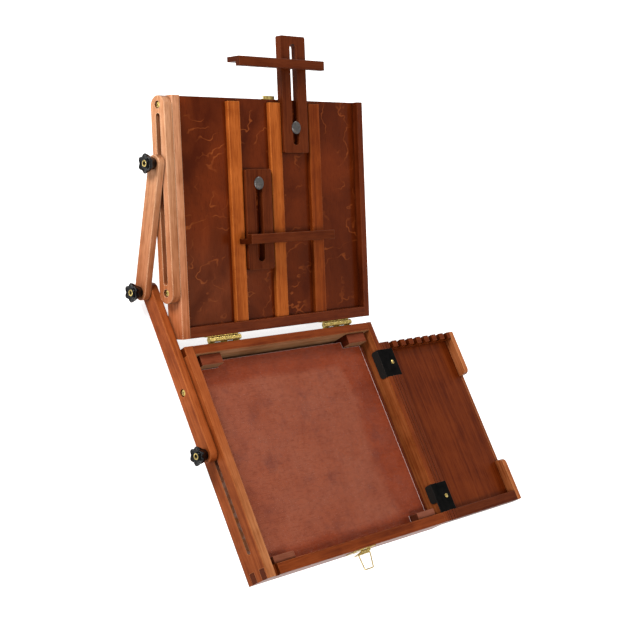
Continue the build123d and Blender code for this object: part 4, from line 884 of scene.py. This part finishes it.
def dress_all():
    """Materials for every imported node, and the pieces that replace some of them."""
    brass_material = brass()
    dark_zinc = steel("dark_zinc", DARK_ZINC)
    plastic = knob_plastic()
    dress_woods()
    dress(clear_sheet(), "palette_sheet")
    dress(black_steel(), "tray_hook_clips")
    dress(steel("zinc_steel", ZINC), *STEEL)
    dress(dark_zinc, *DARK_STEEL)
    dress(brass_material, *BRASS)
    for knob in KNOBS:
        star_knob(knob, plastic)
    for row in SCREWS:
        screws(*row, brass_material)
    latch_bail(brass_material)
    clamp_bolts(dark_zinc)


# ---------------------------------------------------------------- studio
CAMERA_PLACE = (-1.3933, -0.2925, 1.4057)
CAMERA_TURN = (32.098, -38.887, -27.109)      # degrees about X, Y and Z
CAMERA_LENS = 74.87
CAMERA_SENSOR = 36.0

WHITE = (1.0, 1.0, 1.0)
# Lamps: place, what it aims at, width of its disk, power and colour. The last one gives the
# palette and the lid's board the soft sheen that they have in the photograph.
LAMPS = {
    "side": ((-0.86, 0.72, 0.55), (-0.20, 0.25, 0.10), 0.45, 10.0, WHITE),
    "front": ((-0.40, -1.35, 2.30), (0.00, 0.00, 0.05), 0.90, 33.0, WHITE),
    "back": ((1.05, 1.25, 1.45), (-0.10, 0.20, 0.05), 0.50, 7.0, WHITE),
    "sheen": ((0.637, -0.234, 0.850), (-0.15, 0.235, 0.075), 0.22, 0.5, (1.0, 0.80, 0.62)),
}
WORLD_LIGHT = 0.34                  # the white world's light on the object
FLOOR_LIFT = 0.80                   # what the floor adds to its own lit colour where it is seen
FLOOR_SIZE = 6.0                    # half its width
FLOOR_DROP = 0.3 * MM               # below the box's feet
FLOOR_DARK, FLOOR_PALE = (0.80, 0.80, 0.79), (0.84, 0.84, 0.83)


def camera():
    lens = bpy.data.cameras.new("camera")
    lens.lens = CAMERA_LENS
    lens.sensor_width = CAMERA_SENSOR
    eye = bpy.data.objects.new("camera", lens)
    eye.location = CAMERA_PLACE
    eye.rotation_euler = [math.radians(angle) for angle in CAMERA_TURN]
    bpy.context.scene.collection.objects.link(eye)
    bpy.context.scene.camera = eye


def soft_lamp(name, place, aim, width, power, colour):
    light = bpy.data.lights.new(name, "AREA")
    light.color = colour
    light.shape = "DISK"
    light.size = width
    light.energy = power
    lamp = bpy.data.objects.new(name, light)
    lamp.location = place
    lamp.rotation_euler = (Vector(aim) - Vector(place)).to_track_quat("-Z", "Y").to_euler()
    bpy.context.scene.collection.objects.link(lamp)


def white_world():
    """White where it is seen, and dimmer as light on the object."""
    world = bpy.data.worlds.new("studio")
    bpy.context.scene.world = world
    world.use_nodes = True
    nodes = Nodes(world.node_tree)
    output = nodes.add("ShaderNodeOutputWorld")
    background = nodes.add("ShaderNodeBackground", {"Color": (*WHITE, 1.0)})
    strength = nodes.range(nodes.is_seen(), 0.0, 1.0, WORLD_LIGHT, 1.0)
    nodes.link(strength, background.inputs["Strength"])
    nodes.link((background, "Background"), output.inputs["Surface"])


def pale_floor():
    """A floor that blends into the white world but keeps the object's shadow."""
    mesh = bmesh.new()
    bmesh.ops.create_grid(mesh, x_segments=1, y_segments=1, size=FLOOR_SIZE)
    data = bpy.data.meshes.new("floor")
    mesh.to_mesh(data)
    mesh.free()
    floor = bpy.data.objects.new("floor", data)
    floor.location = (0, 0, -FLOOR_DROP)
    bpy.context.scene.collection.objects.link(floor)
    shader = Shader("floor")
    mottle = shader.noise(40, 2)
    shader.feed(shader.ramp(mottle, (0.3, FLOOR_DARK), (0.7, FLOOR_PALE)), "Base Color")
    shader.set(roughness=0.9, specular_ior_level=0.1, emission_color=(*WHITE, 1.0))
    lift = shader.range(shader.is_seen(), 0.0, 1.0, 0.0, FLOOR_LIFT)
    shader.feed(lift, "Emission Strength")
    data.materials.append(shader.material)


def studio():
    bpy.context.scene.view_settings.view_transform = "Standard"
    camera()
    white_world()
    pale_floor()
    for name, lamp in LAMPS.items():
        soft_lamp(name, *lamp)


studio()
dress_all()
